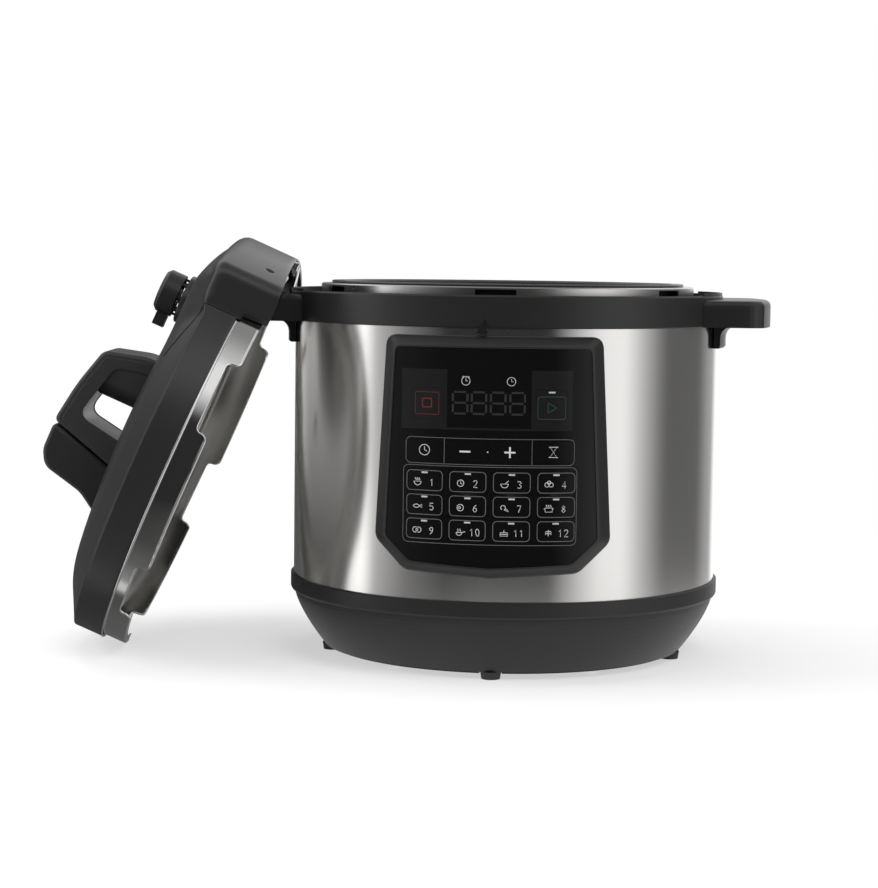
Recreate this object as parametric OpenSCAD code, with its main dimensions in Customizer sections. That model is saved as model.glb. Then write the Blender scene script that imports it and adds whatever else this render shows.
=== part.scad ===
// Electric pressure cooker, six litre class, with its lid taken off.
// The lid leans against the left handle and stands on the table.
// Units are millimetres. +Z is up, -Y is the front with the control panel.
// The origin is on the cooker's vertical axis, at the height of the table.

/* [Cooker body] */
// Outer radius of the steel housing
shell_r = 148; // [146:0.5:150]
// Wall of the steel housing
shell_t = 0.8; // [0.6:0.1:1.2]
// Height of the steel housing between base and ring
shell_h = 176.5; // [170:0.5:184]
// Height of the base's upper edge above the table
base_h = 54.5; // [50:0.5:60]
// How far the base's band stands proud of the steel
base_lip = 2; // [1.5:0.1:3]
// Height of the band round the top of the base
base_band_h = 12; // [8:0.5:16]
// Step under that band
base_step = 2.8; // [1.5:0.1:4]
// Radius of the base's lower edge
base_foot_r = 126; // [124:0.5:130]
// Wall of the plastic base
base_wall = 2.6; // [2:0.1:3.2]
// Gap between the base's lower edge and the table
ground_gap = 5; // [4:0.5:7]
// Radius of one rubber foot
foot_r = 7; // [6:0.5:8]
// Angle from the front foot to each side foot
foot_spread = 78; // [70:1:84]

/* [Top ring and handles] */
// Height of the plastic ring
ring_h = 21; // [20:0.5:24]
// How far the ring stands proud of the steel
ring_lip = 2.3; // [1.8:0.1:3]
// Wall of the ring
ring_wall = 2.1; // [1.8:0.1:2.3]
// Reach of each handle from the cooker's axis
handle_reach = 183; // [178:0.5:186]
// Width of each handle
handle_w = 132; // [110:1:140]
// Thickness of each handle
handle_t = 18; // [16:0.5:20]
// Corner radius of a handle, seen from above
handle_corner = 16; // [12:1:20]
// Rounding of a handle's upper edge
handle_edge = 4; // [3:0.5:5]
// Radius of a handle's curved end, seen from above
handle_arc = 250; // [200:5:320]
// Wall of a handle
handle_wall = 2.8; // [2:0.1:3.5]
// Height of the apron under each handle
apron_h = 15; // [12:0.5:20]
// Thickness of the apron with its gap to the steel
apron_t = 4.8; // [3.5:0.1:6]
// Angle that the apron spans
apron_angle = 30; // [20:1:36]

/* [Pots and heater] */
// Outer radius of the inner pot
pot_r = 115.5; // [112:0.5:117]
// Wall of the inner pot
pot_t = 1.6; // [1.2:0.1:2]
// Depth of the inner pot with its rim
pot_depth = 160; // [154:1:164]
// Width of the inner pot's rim
pot_rim = 7.5; // [6.5:0.5:8.5]
// Gap between the inner pot and the steel liner
pot_gap = 3.5; // [2.5:0.25:4]
// Wall of the steel liner
liner_t = 1.2; // [0.8:0.1:1.5]
// Radius of the liner's flange
flange_r = 130; // [128:0.5:131]
// Height of the flange's top above the ring's top
flange_rise = 5; // [4:0.5:7]
// Radial length of one locking tooth on the flange
tooth_len = 12.6; // [12:0.1:13.2]
// Thickness of a locking tooth
tooth_t = 2.4; // [2:0.1:3]
// Number of locking teeth, and of lugs on the lid
lug_count = 6; // [5:1:7]
// Radius of the heating plate
heater_r = 92; // [85:1:98]
// Thickness of the heating plate
heater_t = 15; // [12:0.5:18]
// Radius of the temperature sensor's cap
sensor_r = 17; // [14:0.5:20]
// Travel of the sprung temperature sensor
sensor_travel = 3; // [2:0.5:4]

/* [Control panel] */
// Half width of the bezel at its top
bezel_top = 68.3; // [66:0.1:70]
// Half width of the bezel at its widest
bezel_wide = 75; // [74:0.5:77]
// Half width of the bezel's bottom corner
bezel_low = 49.5; // [46:0.5:53]
// Height of the bezel's top edge
bezel_z1 = 223.5; // [222:0.5:225]
// Height of the bezel's lowest point
bezel_z0 = 71; // [69:0.5:72]
// Width of the bezel's slanted border
bezel_border = 7.3; // [7:0.1:8.5]
// How far the panel's face stands proud of the steel
panel_rise = 6.4; // [5.5:0.1:7.5]
// Thickness of the front film
film_t = 0.8; // [0.6:0.1:1]
// Gap round each key
key_gap = 0.15; // [0.1:0.05:0.25]
// Travel of each key
key_travel = 0.5; // [0.3:0.1:0.6]
// Height of one programme key
prog_h = 14.2; // [12:0.1:14.6]
// Width of one programme key
prog_w = 25.2; // [22:0.1:25.6]

/* [Lid] */
// Outer radius of the lid's plastic skirt
lid_r = 149.7; // [149.4:0.1:150]
// Lean of the lid from upright, in degrees
lid_tilt = 23.9; // [22:0.1:26]
// Turn of the lid about the vertical, in degrees
lid_yaw = 5.2; // [3:0.1:6]
// Forward shift of the lid from the cooker's centre plane
lid_shift = 8; // [4:0.5:12]
// Height of the bare steel skirt
steel_skirt = 16.8; // [15:0.1:18]
// Height of the lid's upper skirt corner above its rim
skirt_top = 37.4; // [36:0.1:40]
// Radius of the crease between bevel and deck
deck_r = 121; // [118:0.5:124]
// Height of that crease above the rim
deck_h = 52.2; // [50:0.2:54]
// Rise of the domed deck
dome_rise = 10; // [8:0.5:12]
// Wall of the plastic lid cover
cover_t = 2.4; // [2:0.1:3]
// Thickness of the lid's steel pan
pan_t = 1; // [0.8:0.1:1.3]
// Height of the notches between the lid's lugs
notch_h = 9.2; // [8:0.1:11]
// Rounding of the lugs' corners
lug_round = 5; // [3:0.5:6]
// Radial length of one lug
lug_len = 5.6; // [5:0.1:5.7]
// Height of the seal's lower lip above the rim
seal_w = 24; // [23.4:0.1:25]
// Half width of the lid's squared end
wing_half = 110; // [107:0.5:113]
// Radius of the end's gently curved face
wing_arc = 304; // [260:2:340]
// How far the end's side boxes reach below the rim
wing_drop = 3.5; // [2.5:0.1:4.5]
// Height of the end's lower edge at its middle, above the rim
wing_mid = 2.2; // [1:0.1:3]
// Where the end's side boxes start along the lid
wing_box_u = 108; // [104:1:112]
// Half width of the arch handle
arch_half = 27; // [24:0.5:30]
// Radius of the steam release knob
knob_r = 15.5; // [14:0.5:17]
// Place of the steam release knob along the lid
knob_u = 91; // [86:0.5:92]
// Travel of the float valve
float_travel = 5; // [4:0.5:6]

/* [Rear] */
// Width of the drip cup
cup_w = 62; // [50:1:70]
// Height of the drip cup
cup_h = 34; // [28:1:40]
// Depth of the drip cup
cup_d = 22; // [18:0.5:26]
// Wall of the drip cup
cup_t = 1.8; // [1.5:0.1:2.2]
// Angle of the power inlet behind the right side, in degrees
inlet_angle = 38; // [34:1:42]

/* [Hidden] */
$fn = 96;

eps = 0.01;
touch = 0.3;
near_plastic = [0.13, 0.13, 0.14];
soft_plastic = [0.2, 0.2, 0.21];
gloss_black = [0.05, 0.05, 0.06];
brushed = [0.68, 0.67, 0.65];
polished = [0.82, 0.82, 0.83];

// Heights of the body
shell_z0 = base_h;
shell_z1 = base_h + shell_h;
ring_z0 = shell_z1;
ring_z1 = ring_z0 + ring_h;
flange_z = ring_z1 + flange_rise;
ring_r = shell_r + ring_lip;
ring_in = ring_r - ring_wall;
ring_floor = 2.6;
handle_root = shell_r * 0.8;
shell_grip = 1.4;
base_r = shell_r + base_lip;

// Pots, hung from the flange
liner_in = pot_r + pot_gap;
liner_out = liner_in + liner_t;
rim_t = 1.6;
pot_z0 = flange_z + touch + rim_t - pot_depth;
pot_corner = 14;
heater_z1 = pot_z0 - touch;
heater_z0 = heater_z1 - heater_t;
heater_legs = 8;
sensor_cap = 4;
liner_z0 = heater_z0 - heater_legs - liner_t;
flange_skirt = 1.4;
tooth_z0 = ring_z0 + ring_floor + 2.8;
tooth_angle = 0.33 * 360 / lug_count;
notch_angle = 0.37 * 360 / lug_count;

// Control panel, wrapped round the body's axis
film_r = shell_r + panel_rise;
film_in = film_r - film_t;
bezel_r = film_r + 0.6;
bezel_turn_z = bezel_z0 + 28.5;
bezel_low_z = bezel_z0 + 3.3;
film_top = bezel_top - bezel_border;
film_wide = bezel_wide - bezel_border - 0.8;
film_low = bezel_low + 1.8;
film_z1 = bezel_z1 - bezel_border + 0.4;
film_z0 = bezel_z0 + bezel_border;
ledge = 4;
board_y = 137;
board_t = 1.6;
board_half = 54;
board_z0 = 85;
board_z1 = 211;
post_x = 48;
prog_pitch_x = 28.2;
prog_pitch_z = 15.6;
prog_x0 = -42.6;
prog_z0 = 101.6;

// Lid, in its own frame: X towards the squared end, Z out of the top, origin at the rim's centre
pan_r = lid_r - 2.1;
lid_z = pan_r * cos(lid_tilt) - 0.1;
handle_z1 = ring_z0 + handle_t;
lean_reach = cos(lid_tilt) * (handle_arc - handle_edge) + handle_edge;
lean_rise = sin(lid_tilt) * (handle_z1 - handle_edge - lid_z);
lean_side = cos(lid_tilt) * sin(lid_yaw) * lid_shift;
lean_w = lean_reach + lean_rise - lean_side - (seal_w - touch);
lid_x = handle_arc - handle_reach - lean_w / (cos(lid_tilt) * cos(lid_yaw));
pan_top = 37.2;
cover_gap = 0.2;
box_wall = 1.6;
deck_apex = deck_h + dome_rise;
knob_base_h = 8;
knob_w0 = deck_at(knob_u) + knob_base_h;
knob_lift = 3.2;
knob_t = 13.6;
float_u = 60;
float_v = 44;
float_r = 3;
pipe_r = 5;
stem_r = 3;
stem_gap = 0.06;
end_screw_v = 86;
end_screw_w = 11;

// Height of the lid's deck at distance r from its centre
function deck_at(r) = deck_h + dome_rise * (1 - pow(r / deck_r, 2));

// Distance of the end's curved face from the lid's centre, at distance v from the middle
function wing_arc_u(v) = lid_r + 0.2 - wing_arc + sqrt(wing_arc * wing_arc - v * v);

// Radius of the base's curved wall at height z
function base_curve(z, inset = 0) =
  base_foot_r - inset
  + (base_r - base_step - base_foot_r)
  * (1 - pow(1 - (z - ground_gap) / (base_h - base_band_h - ground_gap), 1.4));

// Points of an outline with each corner cut back by c and rounded in n steps
function soften(pts, c, n = 5) = [
  for (i = [0 : len(pts) - 1])
    let (
      p = pts[i],
      a = pts[(i + len(pts) - 1) % len(pts)],
      b = pts[(i + 1) % len(pts)],
      pa = p + (a - p) * (c / norm(a - p)),
      pb = p + (b - p) * (c / norm(b - p))
    )
    for (k = [0 : n])
      let (t = k / n)
      pa * pow(1 - t, 2) + p * (2 * t * (1 - t)) + pb * pow(t, 2)
];

// Outline of the panel in X and Z, from its half widths and heights
function panel_outline(top, wide, low, z1, zw, zl, z0) = [
  [-top, z1], [top, z1], [wide, zw], [low, zl], [low * 0.45, z0 + (zl - z0) * 0.2],
  [-low * 0.45, z0 + (zl - z0) * 0.2], [-low, zl], [-wide, zw]
];

// Prism of an X-Z outline between the depths ya and yb in front of the axis
module front_prism(pts, ya, yb) {
  translate([0, -ya, 0])
    rotate([90, 0, 0])
      linear_extrude(yb - ya)
        polygon(pts);
}

// Tube about Z
module tube(r_out, r_in, z0, z1) {
  translate([0, 0, z0])
    difference() {
      cylinder(r = r_out, h = z1 - z0);
      translate([0, 0, -1])
        cylinder(r = r_in, h = z1 - z0 + 2);
    }
}

// Part of a tube that spans an angle, centred on the direction mid
module sector(r_out, r_in, z0, z1, mid, span) {
  rotate([0, 0, mid - span / 2])
    rotate_extrude(angle = span)
      translate([r_in, z0])
        square([r_out - r_in, z1 - z0]);
}

// Cross-headed screw, head outwards along +Z, its seat at the origin
module screw(head_r, head_h, shank_r, shank_l) {
  difference() {
    union() {
      cylinder(r = head_r, h = head_h, $fn = 24);
      translate([0, 0, -shank_l])
        cylinder(r = shank_r, h = shank_l + eps, $fn = 24);
    }
    for (a = [0, 90])
      rotate([0, 0, a])
        translate([-head_r * 0.6, -head_r * 0.12, head_h * 0.45])
          cube([head_r * 1.2, head_r * 0.24, head_h]);
  }
}

// Puts children into the lid's frame
module lid_place() {
  translate([lid_x, -lid_shift, lid_z])
    rotate([0, 0, lid_yaw])
      rotate([0, lid_tilt - 90, 0])
        children();
}

/* Cooker body */

module base_profile(inset, z_low) {
  steps = 12;
  z_step = base_h - base_band_h;
  polygon(concat(
    [for (k = [0 : steps])
      let (z = z_low + (z_step - z_low) * k / steps)
      [base_curve(z, inset), z]],
    [
      [base_r - 0.6 - inset, z_step + 1.2],
      [base_r - inset, z_step + 2.4],
      [base_r - inset, base_h - 0.6],
      [base_r - inset - 0.6, base_h],
      [0, base_h],
      [0, z_low]
    ]
  ));
}

cover_z0 = ground_gap - 1.5;
cover_h = 2;
cover_r = base_foot_r - base_wall - 1.4;
screw_ring = cover_r - 9;
foot_ring = base_foot_r - foot_r + 1.5;
foot_pin_r = foot_r - 3.2;
foot_boss_in = 3;
foot_angles = [-90, foot_spread - 90, 60, 120, 270 - foot_spread];
foot_count = len(foot_angles);
cover_turn = 36;
inlet_w = 27;
inlet_h = 20;
inlet_z = 28;
inlet_rim = 3.5;
inlet_hw = inlet_w / 2 + inlet_rim;
inlet_hh = inlet_h / 2 + inlet_rim;
inlet_x0 = base_foot_r - 4;
inlet_x1 = base_r - 0.8;

module base_shell() {
  color(near_plastic)
    difference() {
      union() {
        difference() {
          rotate_extrude()
            base_profile(0, ground_gap);
          translate([0, 0, base_wall])
            rotate_extrude()
              difference() {
                base_profile(base_wall, ground_gap);
                translate([0, base_h - base_wall - 6])
                  square([base_r, base_h]);
              }
          translate([0, 0, base_h - 7])
            cylinder(r = shell_r - shell_t - touch - 1.4, h = 8);
          tube(shell_r + 0.1, shell_r - shell_t - 0.1, base_h - 4, base_h + 1);
          translate([0, 0, -1])
            cylinder(r = cover_r - 14, h = base_h);
          // Seat of the bottom cover
          translate([0, 0, ground_gap - 1])
            cylinder(r = cover_r + 0.3, h = cover_z0 + cover_h - ground_gap + 1);
        }
        for (a = foot_angles)
          rotate([0, 0, a])
            translate([foot_ring - foot_boss_in, 0, ground_gap + 0.4])
              cylinder(r = foot_r + 0.6, h = 8, $fn = 48);
        for (k = [0 : foot_count - 1])
          rotate([0, 0, -90 + cover_turn + k * 360 / foot_count])
            translate([screw_ring, 0, ground_gap + 1])
              cylinder(r = 4, h = 10, $fn = 48);
      }
      // Pockets of the feet
      for (a = foot_angles)
        rotate([0, 0, a])
          translate([foot_ring, 0, ground_gap - 1])
            cylinder(r = foot_pin_r + 0.2, h = 5, $fn = 48);
      // Screw holes of the cover
      for (k = [0 : foot_count - 1])
        rotate([0, 0, -90 + cover_turn + k * 360 / foot_count])
          translate([screw_ring, 0, 0])
            cylinder(r = 1.6, h = 14, $fn = 24);
      // Mouth of the power inlet
      rotate([0, 0, inlet_angle])
        translate([inlet_x0 - 20, -inlet_hw - 0.1, inlet_z - inlet_hh - 0.1])
          cube([60, 2 * inlet_hw + 0.2, 2 * inlet_hh + 0.2]);
    }
}

module bottom_cover() {
  color(near_plastic)
    difference() {
      union() {
        translate([0, 0, cover_z0])
          cylinder(r = cover_r, h = cover_h);
        for (r = [34, 64])
          tube(r + 1.2, r - 1.2, cover_z0 + cover_h - eps, cover_z0 + cover_h + 4);
      }
      for (a = foot_angles)
        rotate([0, 0, a])
          translate([foot_ring - foot_boss_in, 0, 0])
            cylinder(r = foot_r + 1.5, h = 20, $fn = 48);
      for (k = [0 : foot_count - 1])
        rotate([0, 0, -90 + cover_turn + k * 360 / foot_count])
          translate([screw_ring, 0, 0])
            cylinder(r = 2, h = 20, $fn = 24);
      // Cooling slots
      for (k = [0 : 17])
        rotate([0, 0, k * 20 + 10])
          translate([40, -1.6, 0])
            cube([18, 3.2, 20]);
      for (k = [0 : 11])
        rotate([0, 0, k * 30])
          translate([14, -1.6, 0])
            cube([14, 3.2, 20]);
    }
}

module rubber_feet() {
  color([0.08, 0.08, 0.08])
    for (a = foot_angles)
      rotate([0, 0, a])
        translate([foot_ring, 0, 0]) {
          cylinder(r1 = foot_r - 0.8, r2 = foot_r, h = ground_gap, $fn = 48);
          translate([0, 0, ground_gap - eps])
            cylinder(r = foot_pin_r, h = 3.6, $fn = 48);
        }
  // Pad in the middle of the bottom cover
  color([0.08, 0.08, 0.08])
    cylinder(r1 = foot_r - 0.8, r2 = foot_r, h = cover_z0, $fn = 48);
}

module cover_screws() {
  color(polished)
    for (k = [0 : foot_count - 1])
      rotate([0, 0, -90 + cover_turn + k * 360 / foot_count])
        translate([screw_ring, 0, cover_z0])
          mirror([0, 0, 1])
            screw(3, 1.6, 1.5, 10);
}

window_low = 84;
window_high = 212;
window_half = 56;

module steel_housing() {
  color(brushed)
    difference() {
      tube(shell_r, shell_r - shell_t, shell_z0 - 4, shell_z1 + shell_grip);
      translate([-window_half, -shell_r - 5, window_low])
        cube([2 * window_half, 40, window_high - window_low]);
    }
}

module ring_profile() {
  polygon([
    [liner_out + 1.5, ring_z0],
    [ring_r - 0.6, ring_z0],
    [ring_r, ring_z0 + 0.6],
    [ring_r, ring_z1 - 1.2],
    [ring_r - 0.8, ring_z1],
    [ring_in, ring_z1],
    [ring_in, ring_z0 + ring_floor + 3],
    [ring_in - 3, ring_z0 + ring_floor],
    [liner_out + 1.5, ring_z0 + ring_floor]
  ]);
}

module top_ring() {
  color(near_plastic)
    difference() {
      union() {
        rotate_extrude()
          ring_profile();
        // Raised ribs above the handles
        for (s = [0, 180])
          sector(ring_r - 0.5, ring_in + 0.3, ring_z1 - 1, ring_z1 + 1.4, s, 50);
        // Skirt that grips the steel housing from inside
        tube(shell_r - shell_t - 0.2, shell_r - shell_t - 2.2, ring_z0 - 8, ring_z0 + eps);
        // Collar that carries the steel liner's flange
        tube(liner_out + 3, liner_out + 0.5, ring_z0 - 1, flange_z - liner_t);
        // Rail of the drip cup
        translate([-rail_w / 2, shell_r + 0.3, ring_z0 - rail_h])
          cube([rail_w, rail_y - shell_r - 0.3 + eps, rail_h + 2]);
        translate([-rail_w / 2 - 5, rail_y, ring_z0 - rail_h])
          cube([rail_w + 10, 1.6, rail_h - touch]);
      }
      tube(shell_r + 0.1, shell_r - shell_t - 0.1, ring_z0 - 20, ring_z0 + shell_grip);
      // Groove that aligns the front, shaped as a small arrow
      translate([-5.2, 0, 0])
        front_prism([[-3.6, ring_z0 - 1], [3.6, ring_z0 - 1], [0, ring_z0 + 6]],
          ring_r - 0.9, ring_r + 2);
      // Drain over the drip cup
      translate([-4, ring_in - 4, ring_z0 + ring_floor + 0.4])
        cube([8, 12, 2.2]);
      // Screw holes of the handles
      for (s = [0, 180])
        for (a = [-18, 18])
          rotate([0, 0, s + a])
            translate([ring_in - 6, 0, ring_z0 + 9])
              rotate([0, 90, 0])
                cylinder(r = 1.9, h = 12, $fn = 24);
    }
}

// Plan of a handle on the +X side, with a gently curved outer end, drawn inwards by inset
module handle_plan(inset) {
  half = handle_w / 2 - inset;
  reach = handle_reach - inset;
  c = handle_corner - inset;
  corner_x = handle_reach - 4 - handle_corner;
  intersection() {
    translate([handle_reach - handle_arc, 0])
      circle(r = handle_arc - inset, $fn = 360);
    union() {
      translate([handle_root, -half + c])
        square([reach - handle_root, 2 * (half - c)]);
      translate([handle_root, -half])
        square([corner_x - handle_root, 2 * half]);
      for (s = [-1, 1])
        translate([corner_x, s * (half - c)])
          circle(r = c, $fn = 32);
    }
  }
}

// Slice of a handle at height z, a sheet thick
module handle_slice(z, inset) {
  translate([0, 0, z - eps])
    linear_extrude(eps)
      handle_plan(inset);
}

module handle_solid() {
  steps = 5;
  z1 = ring_z0 + handle_t;
  difference() {
    hull() {
      handle_slice(ring_z0 + eps, 0);
      for (k = [0 : steps])
        let (a = 90 * k / steps)
        handle_slice(z1 - handle_edge * (1 - sin(a)), handle_edge * (1 - cos(a)));
    }
    translate([0, 0, ring_z0 - 1])
      cylinder(r = ring_r + 0.1, h = handle_t + 4, $fn = 180);
  }
}

// Section of the apron, with a fillet up to the handle's underside
module apron_profile() {
  r1 = shell_r + apron_t;
  z0 = ring_z0 - apron_h;
  z1 = ring_z0 - 0.2;
  fillet = 8;
  polygon(concat(
    [[shell_r + 0.4, z1], [shell_r + 0.4, z0], [r1 - 1, z0], [r1, z0 + 1]],
    arc([r1 + fillet, ring_z0 - fillet], fillet, 180, 90),
    [[r1 + fillet, ring_z0 + 4], [ring_r + 0.6, ring_z0 + 4], [ring_r + 0.6, z1]]
  ));
}

module handle() {
  web = 2.2;
  rib_h = 3.5;
  color(near_plastic)
    difference() {
      union() {
        difference() {
          handle_solid();
          // Hollow underside
          translate([0, 0, ring_z0 - 1])
            linear_extrude(handle_t - handle_wall + 1)
              difference() {
                handle_plan(handle_edge);
                circle(r = ring_r + handle_wall + 0.1, $fn = 180);
              }
        }
        // Ribs under the grip
        intersection() {
          translate([0, 0, handle_z1 - handle_wall - rib_h])
            linear_extrude(rib_h + eps)
              handle_plan(handle_edge / 2);
          difference() {
            for (k = [-3 : 3])
              translate([ring_r - 4, k * handle_w / 8 - web / 2, ring_z0])
                cube([60, web, handle_t]);
            cylinder(r = ring_r + handle_wall, h = 400, $fn = 180);
          }
        }
        // Apron against the steel housing
        rotate([0, 0, -apron_angle / 2])
          rotate_extrude(angle = apron_angle)
            apron_profile();
      }
      for (a = [-18, 18])
        rotate([0, 0, a])
          translate([ring_in - 3, 0, ring_z0 + 9])
            rotate([0, 90, 0])
              cylinder(r = 1.25, h = 11.5, $fn = 24);
    }
}

module right_handle() {
  handle();
}

module left_handle() {
  fin_x = ring_r + 2.4;
  rotate([0, 0, 180])
    handle();
  // Small fin beside the ring
  color(near_plastic)
    translate([-fin_x - 0.9, -5, handle_z1 - eps])
      cube([1.8, 10, 3.4]);
}

module handle_screws() {
  color(polished)
    for (s = [0, 180])
      for (a = [-18, 18])
        rotate([0, 0, s + a])
          translate([ring_in - 0.1, 0, ring_z0 + 9])
            rotate([0, -90, 0])
              screw(3.2, 1.6, 1.15, 7);
}

/* Pots and heater */

module liner_profile() {
  polygon([
    [0, liner_z0],
    [liner_out - 6, liner_z0],
    [liner_out - 1.8, liner_z0 + 1.8],
    [liner_out, liner_z0 + 6],
    [liner_out, flange_z - liner_t],
    [flange_r - flange_skirt, flange_z - liner_t],
    [flange_r - flange_skirt, tooth_z0],
    [flange_r, tooth_z0],
    [flange_r, flange_z - 0.8],
    [flange_r - 0.8, flange_z],
    [liner_in + 0.8, flange_z],
    [liner_in, flange_z - 0.8],
    [liner_in, liner_z0 + 6],
    [liner_in - 1.6, liner_z0 + liner_t + 1.6],
    [liner_in - 5.6, liner_z0 + liner_t],
    [0, liner_z0 + liner_t]
  ]);
}

module steel_liner() {
  color(brushed)
    difference() {
      union() {
        rotate_extrude()
          liner_profile();
        // Locking teeth
        for (k = [0 : lug_count - 1])
          sector(flange_r + tooth_len, flange_r - flange_skirt, tooth_z0, tooth_z0 + tooth_t,
            k * 360 / lug_count, tooth_angle);
      }
      // Pressed slots in the flange's skirt
      for (k = [0 : lug_count - 1])
        sector(flange_r + 1, flange_r - flange_skirt - 0.5, ring_z1 - 4, flange_z - 1.8,
          (k + 0.5) * 360 / lug_count, tooth_angle * 0.6);
      translate([0, 0, liner_z0 - 1])
        cylinder(r = sensor_r + 1, h = liner_t + 2);
      for (k = [0 : 2])
        rotate([0, 0, 30 + k * 120])
          translate([heater_r - 18, 0, liner_z0 - 1])
            cylinder(r = 2.6, h = liner_t + 2, $fn = 32);
    }
}

module inner_pot() {
  arc_steps = 8;
  color([0.3, 0.3, 0.31])
    rotate_extrude()
      polygon(concat(
        [[0, pot_z0]],
        [for (k = [0 : arc_steps])
          let (a = -90 + 90 * k / arc_steps)
          [pot_r - pot_corner + pot_corner * cos(a), pot_z0 + pot_corner + pot_corner * sin(a)]],
        [
          [pot_r, flange_z + touch],
          [pot_r + pot_rim - 0.6, flange_z + touch],
          [pot_r + pot_rim, flange_z + touch + 0.8],
          [pot_r + pot_rim - 0.6, flange_z + touch + rim_t],
          [pot_r - pot_t + 1.2, flange_z + touch + rim_t],
          [pot_r - pot_t, flange_z + touch + rim_t - 1.2]
        ],
        [for (k = [arc_steps : -1 : 0])
          let (a = -90 + 90 * k / arc_steps, r = pot_corner - pot_t)
          [pot_r - pot_corner + r * cos(a), pot_z0 + pot_corner + r * sin(a)]],
        [[0, pot_z0 + pot_t]]
      ));
}

module heating_plate() {
  color([0.74, 0.74, 0.73])
    difference() {
      union() {
        translate([0, 0, heater_z0 + 5])
          cylinder(r = heater_r, h = heater_t - 5);
        // Cast-in heating tube
        translate([0, 0, heater_z0 + 5])
          rotate_extrude()
            translate([heater_r * 0.68, 0])
              circle(r = 5, $fn = 48);
        for (k = [0 : 2])
          rotate([0, 0, 30 + k * 120])
            translate([heater_r - 18, 0, heater_z0 - heater_legs])
              cylinder(r = 6, h = heater_legs + 6, $fn = 48);
      }
      translate([0, 0, heater_z0 - 2])
        cylinder(r = sensor_r + 1, h = heater_t + 4);
      for (k = [0 : 2])
        rotate([0, 0, 30 + k * 120])
          translate([heater_r - 18, 0, heater_z0 - heater_legs - 1])
            cylinder(r = 1.7, h = heater_legs + 5, $fn = 24);
    }
}

module heater_screws() {
  color(polished)
    for (k = [0 : 2])
      rotate([0, 0, 30 + k * 120])
        translate([heater_r - 18, 0, liner_z0])
          mirror([0, 0, 1])
            screw(4, 2, 1.6, 9);
}

sensor_stem = 4;
sleeve_r = 7;

module sensor_sleeve() {
  color([0.6, 0.6, 0.6])
    difference() {
      union() {
        tube(sleeve_r, sensor_stem + 0.05, liner_z0 - 14, heater_z1 - sensor_cap - sensor_travel - 1);
        // Strap under the liner's floor
        difference() {
          translate([-sensor_r - 10, -6, liner_z0 - 2.2])
            cube([2 * sensor_r + 20, 12, 2.2]);
          translate([0, 0, liner_z0 - 5])
            cylinder(r = sleeve_r - 1, h = 10);
        }
      }
    }
}

module temperature_sensor() {
  color(polished) {
    translate([0, 0, heater_z1 - sensor_cap])
      cylinder(r = sensor_r, h = sensor_cap);
    translate([0, 0, liner_z0 - 18])
      cylinder(r = sensor_stem, h = heater_z1 - liner_z0 + 18 - sensor_cap + eps, $fn = 48);
  }
}

module pressure_switch() {
  color([0.75, 0.72, 0.62]) {
    translate([-70, -16, liner_z0 - 12])
      cube([26, 14, 12]);
    translate([-74, -11, liner_z0 - 15])
      cube([34, 4, 3 + eps]);
  }
}

module power_board() {
  board_z = cover_z0 + cover_h + 4;
  color([0.1, 0.32, 0.18])
    translate([26, -44, board_z])
      cube([56, 88, 1.6]);
  color([0.2, 0.22, 0.26])
    translate([0, 0, board_z + 1.6 - eps]) {
      translate([32, -36, 0])
        cube([20, 16, 15]);
      translate([32, -10, 0])
        cube([28, 24, 20]);
      for (y = [24, 36])
        translate([42, y, 0])
          cylinder(r = 5, h = 18, $fn = 48);
      translate([66, -30, 0])
        cube([10, 22, 9]);
    }
}

module power_inlet() {
  back = 3;
  color(gloss_black)
    rotate([0, 0, inlet_angle])
      difference() {
        translate([inlet_x0, -inlet_hw, inlet_z - inlet_hh])
          cube([inlet_x1 - inlet_x0, 2 * inlet_hw, 2 * inlet_hh]);
        translate([inlet_x0 + back, -inlet_w / 2 + 1.5, inlet_z - inlet_h / 2 + 1.5])
          cube([60, inlet_w - 3, inlet_h - 3]);
      }
  // Three contact pins
  color([0.8, 0.7, 0.4])
    rotate([0, 0, inlet_angle])
      for (p = [[-7, -2], [7, -2], [0, 2.5]])
        translate([inlet_x0 + back - eps, p[0] - 1, inlet_z + p[1] - 2.5])
          cube([16, 2, 5]);
}

/* Control panel */

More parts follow.
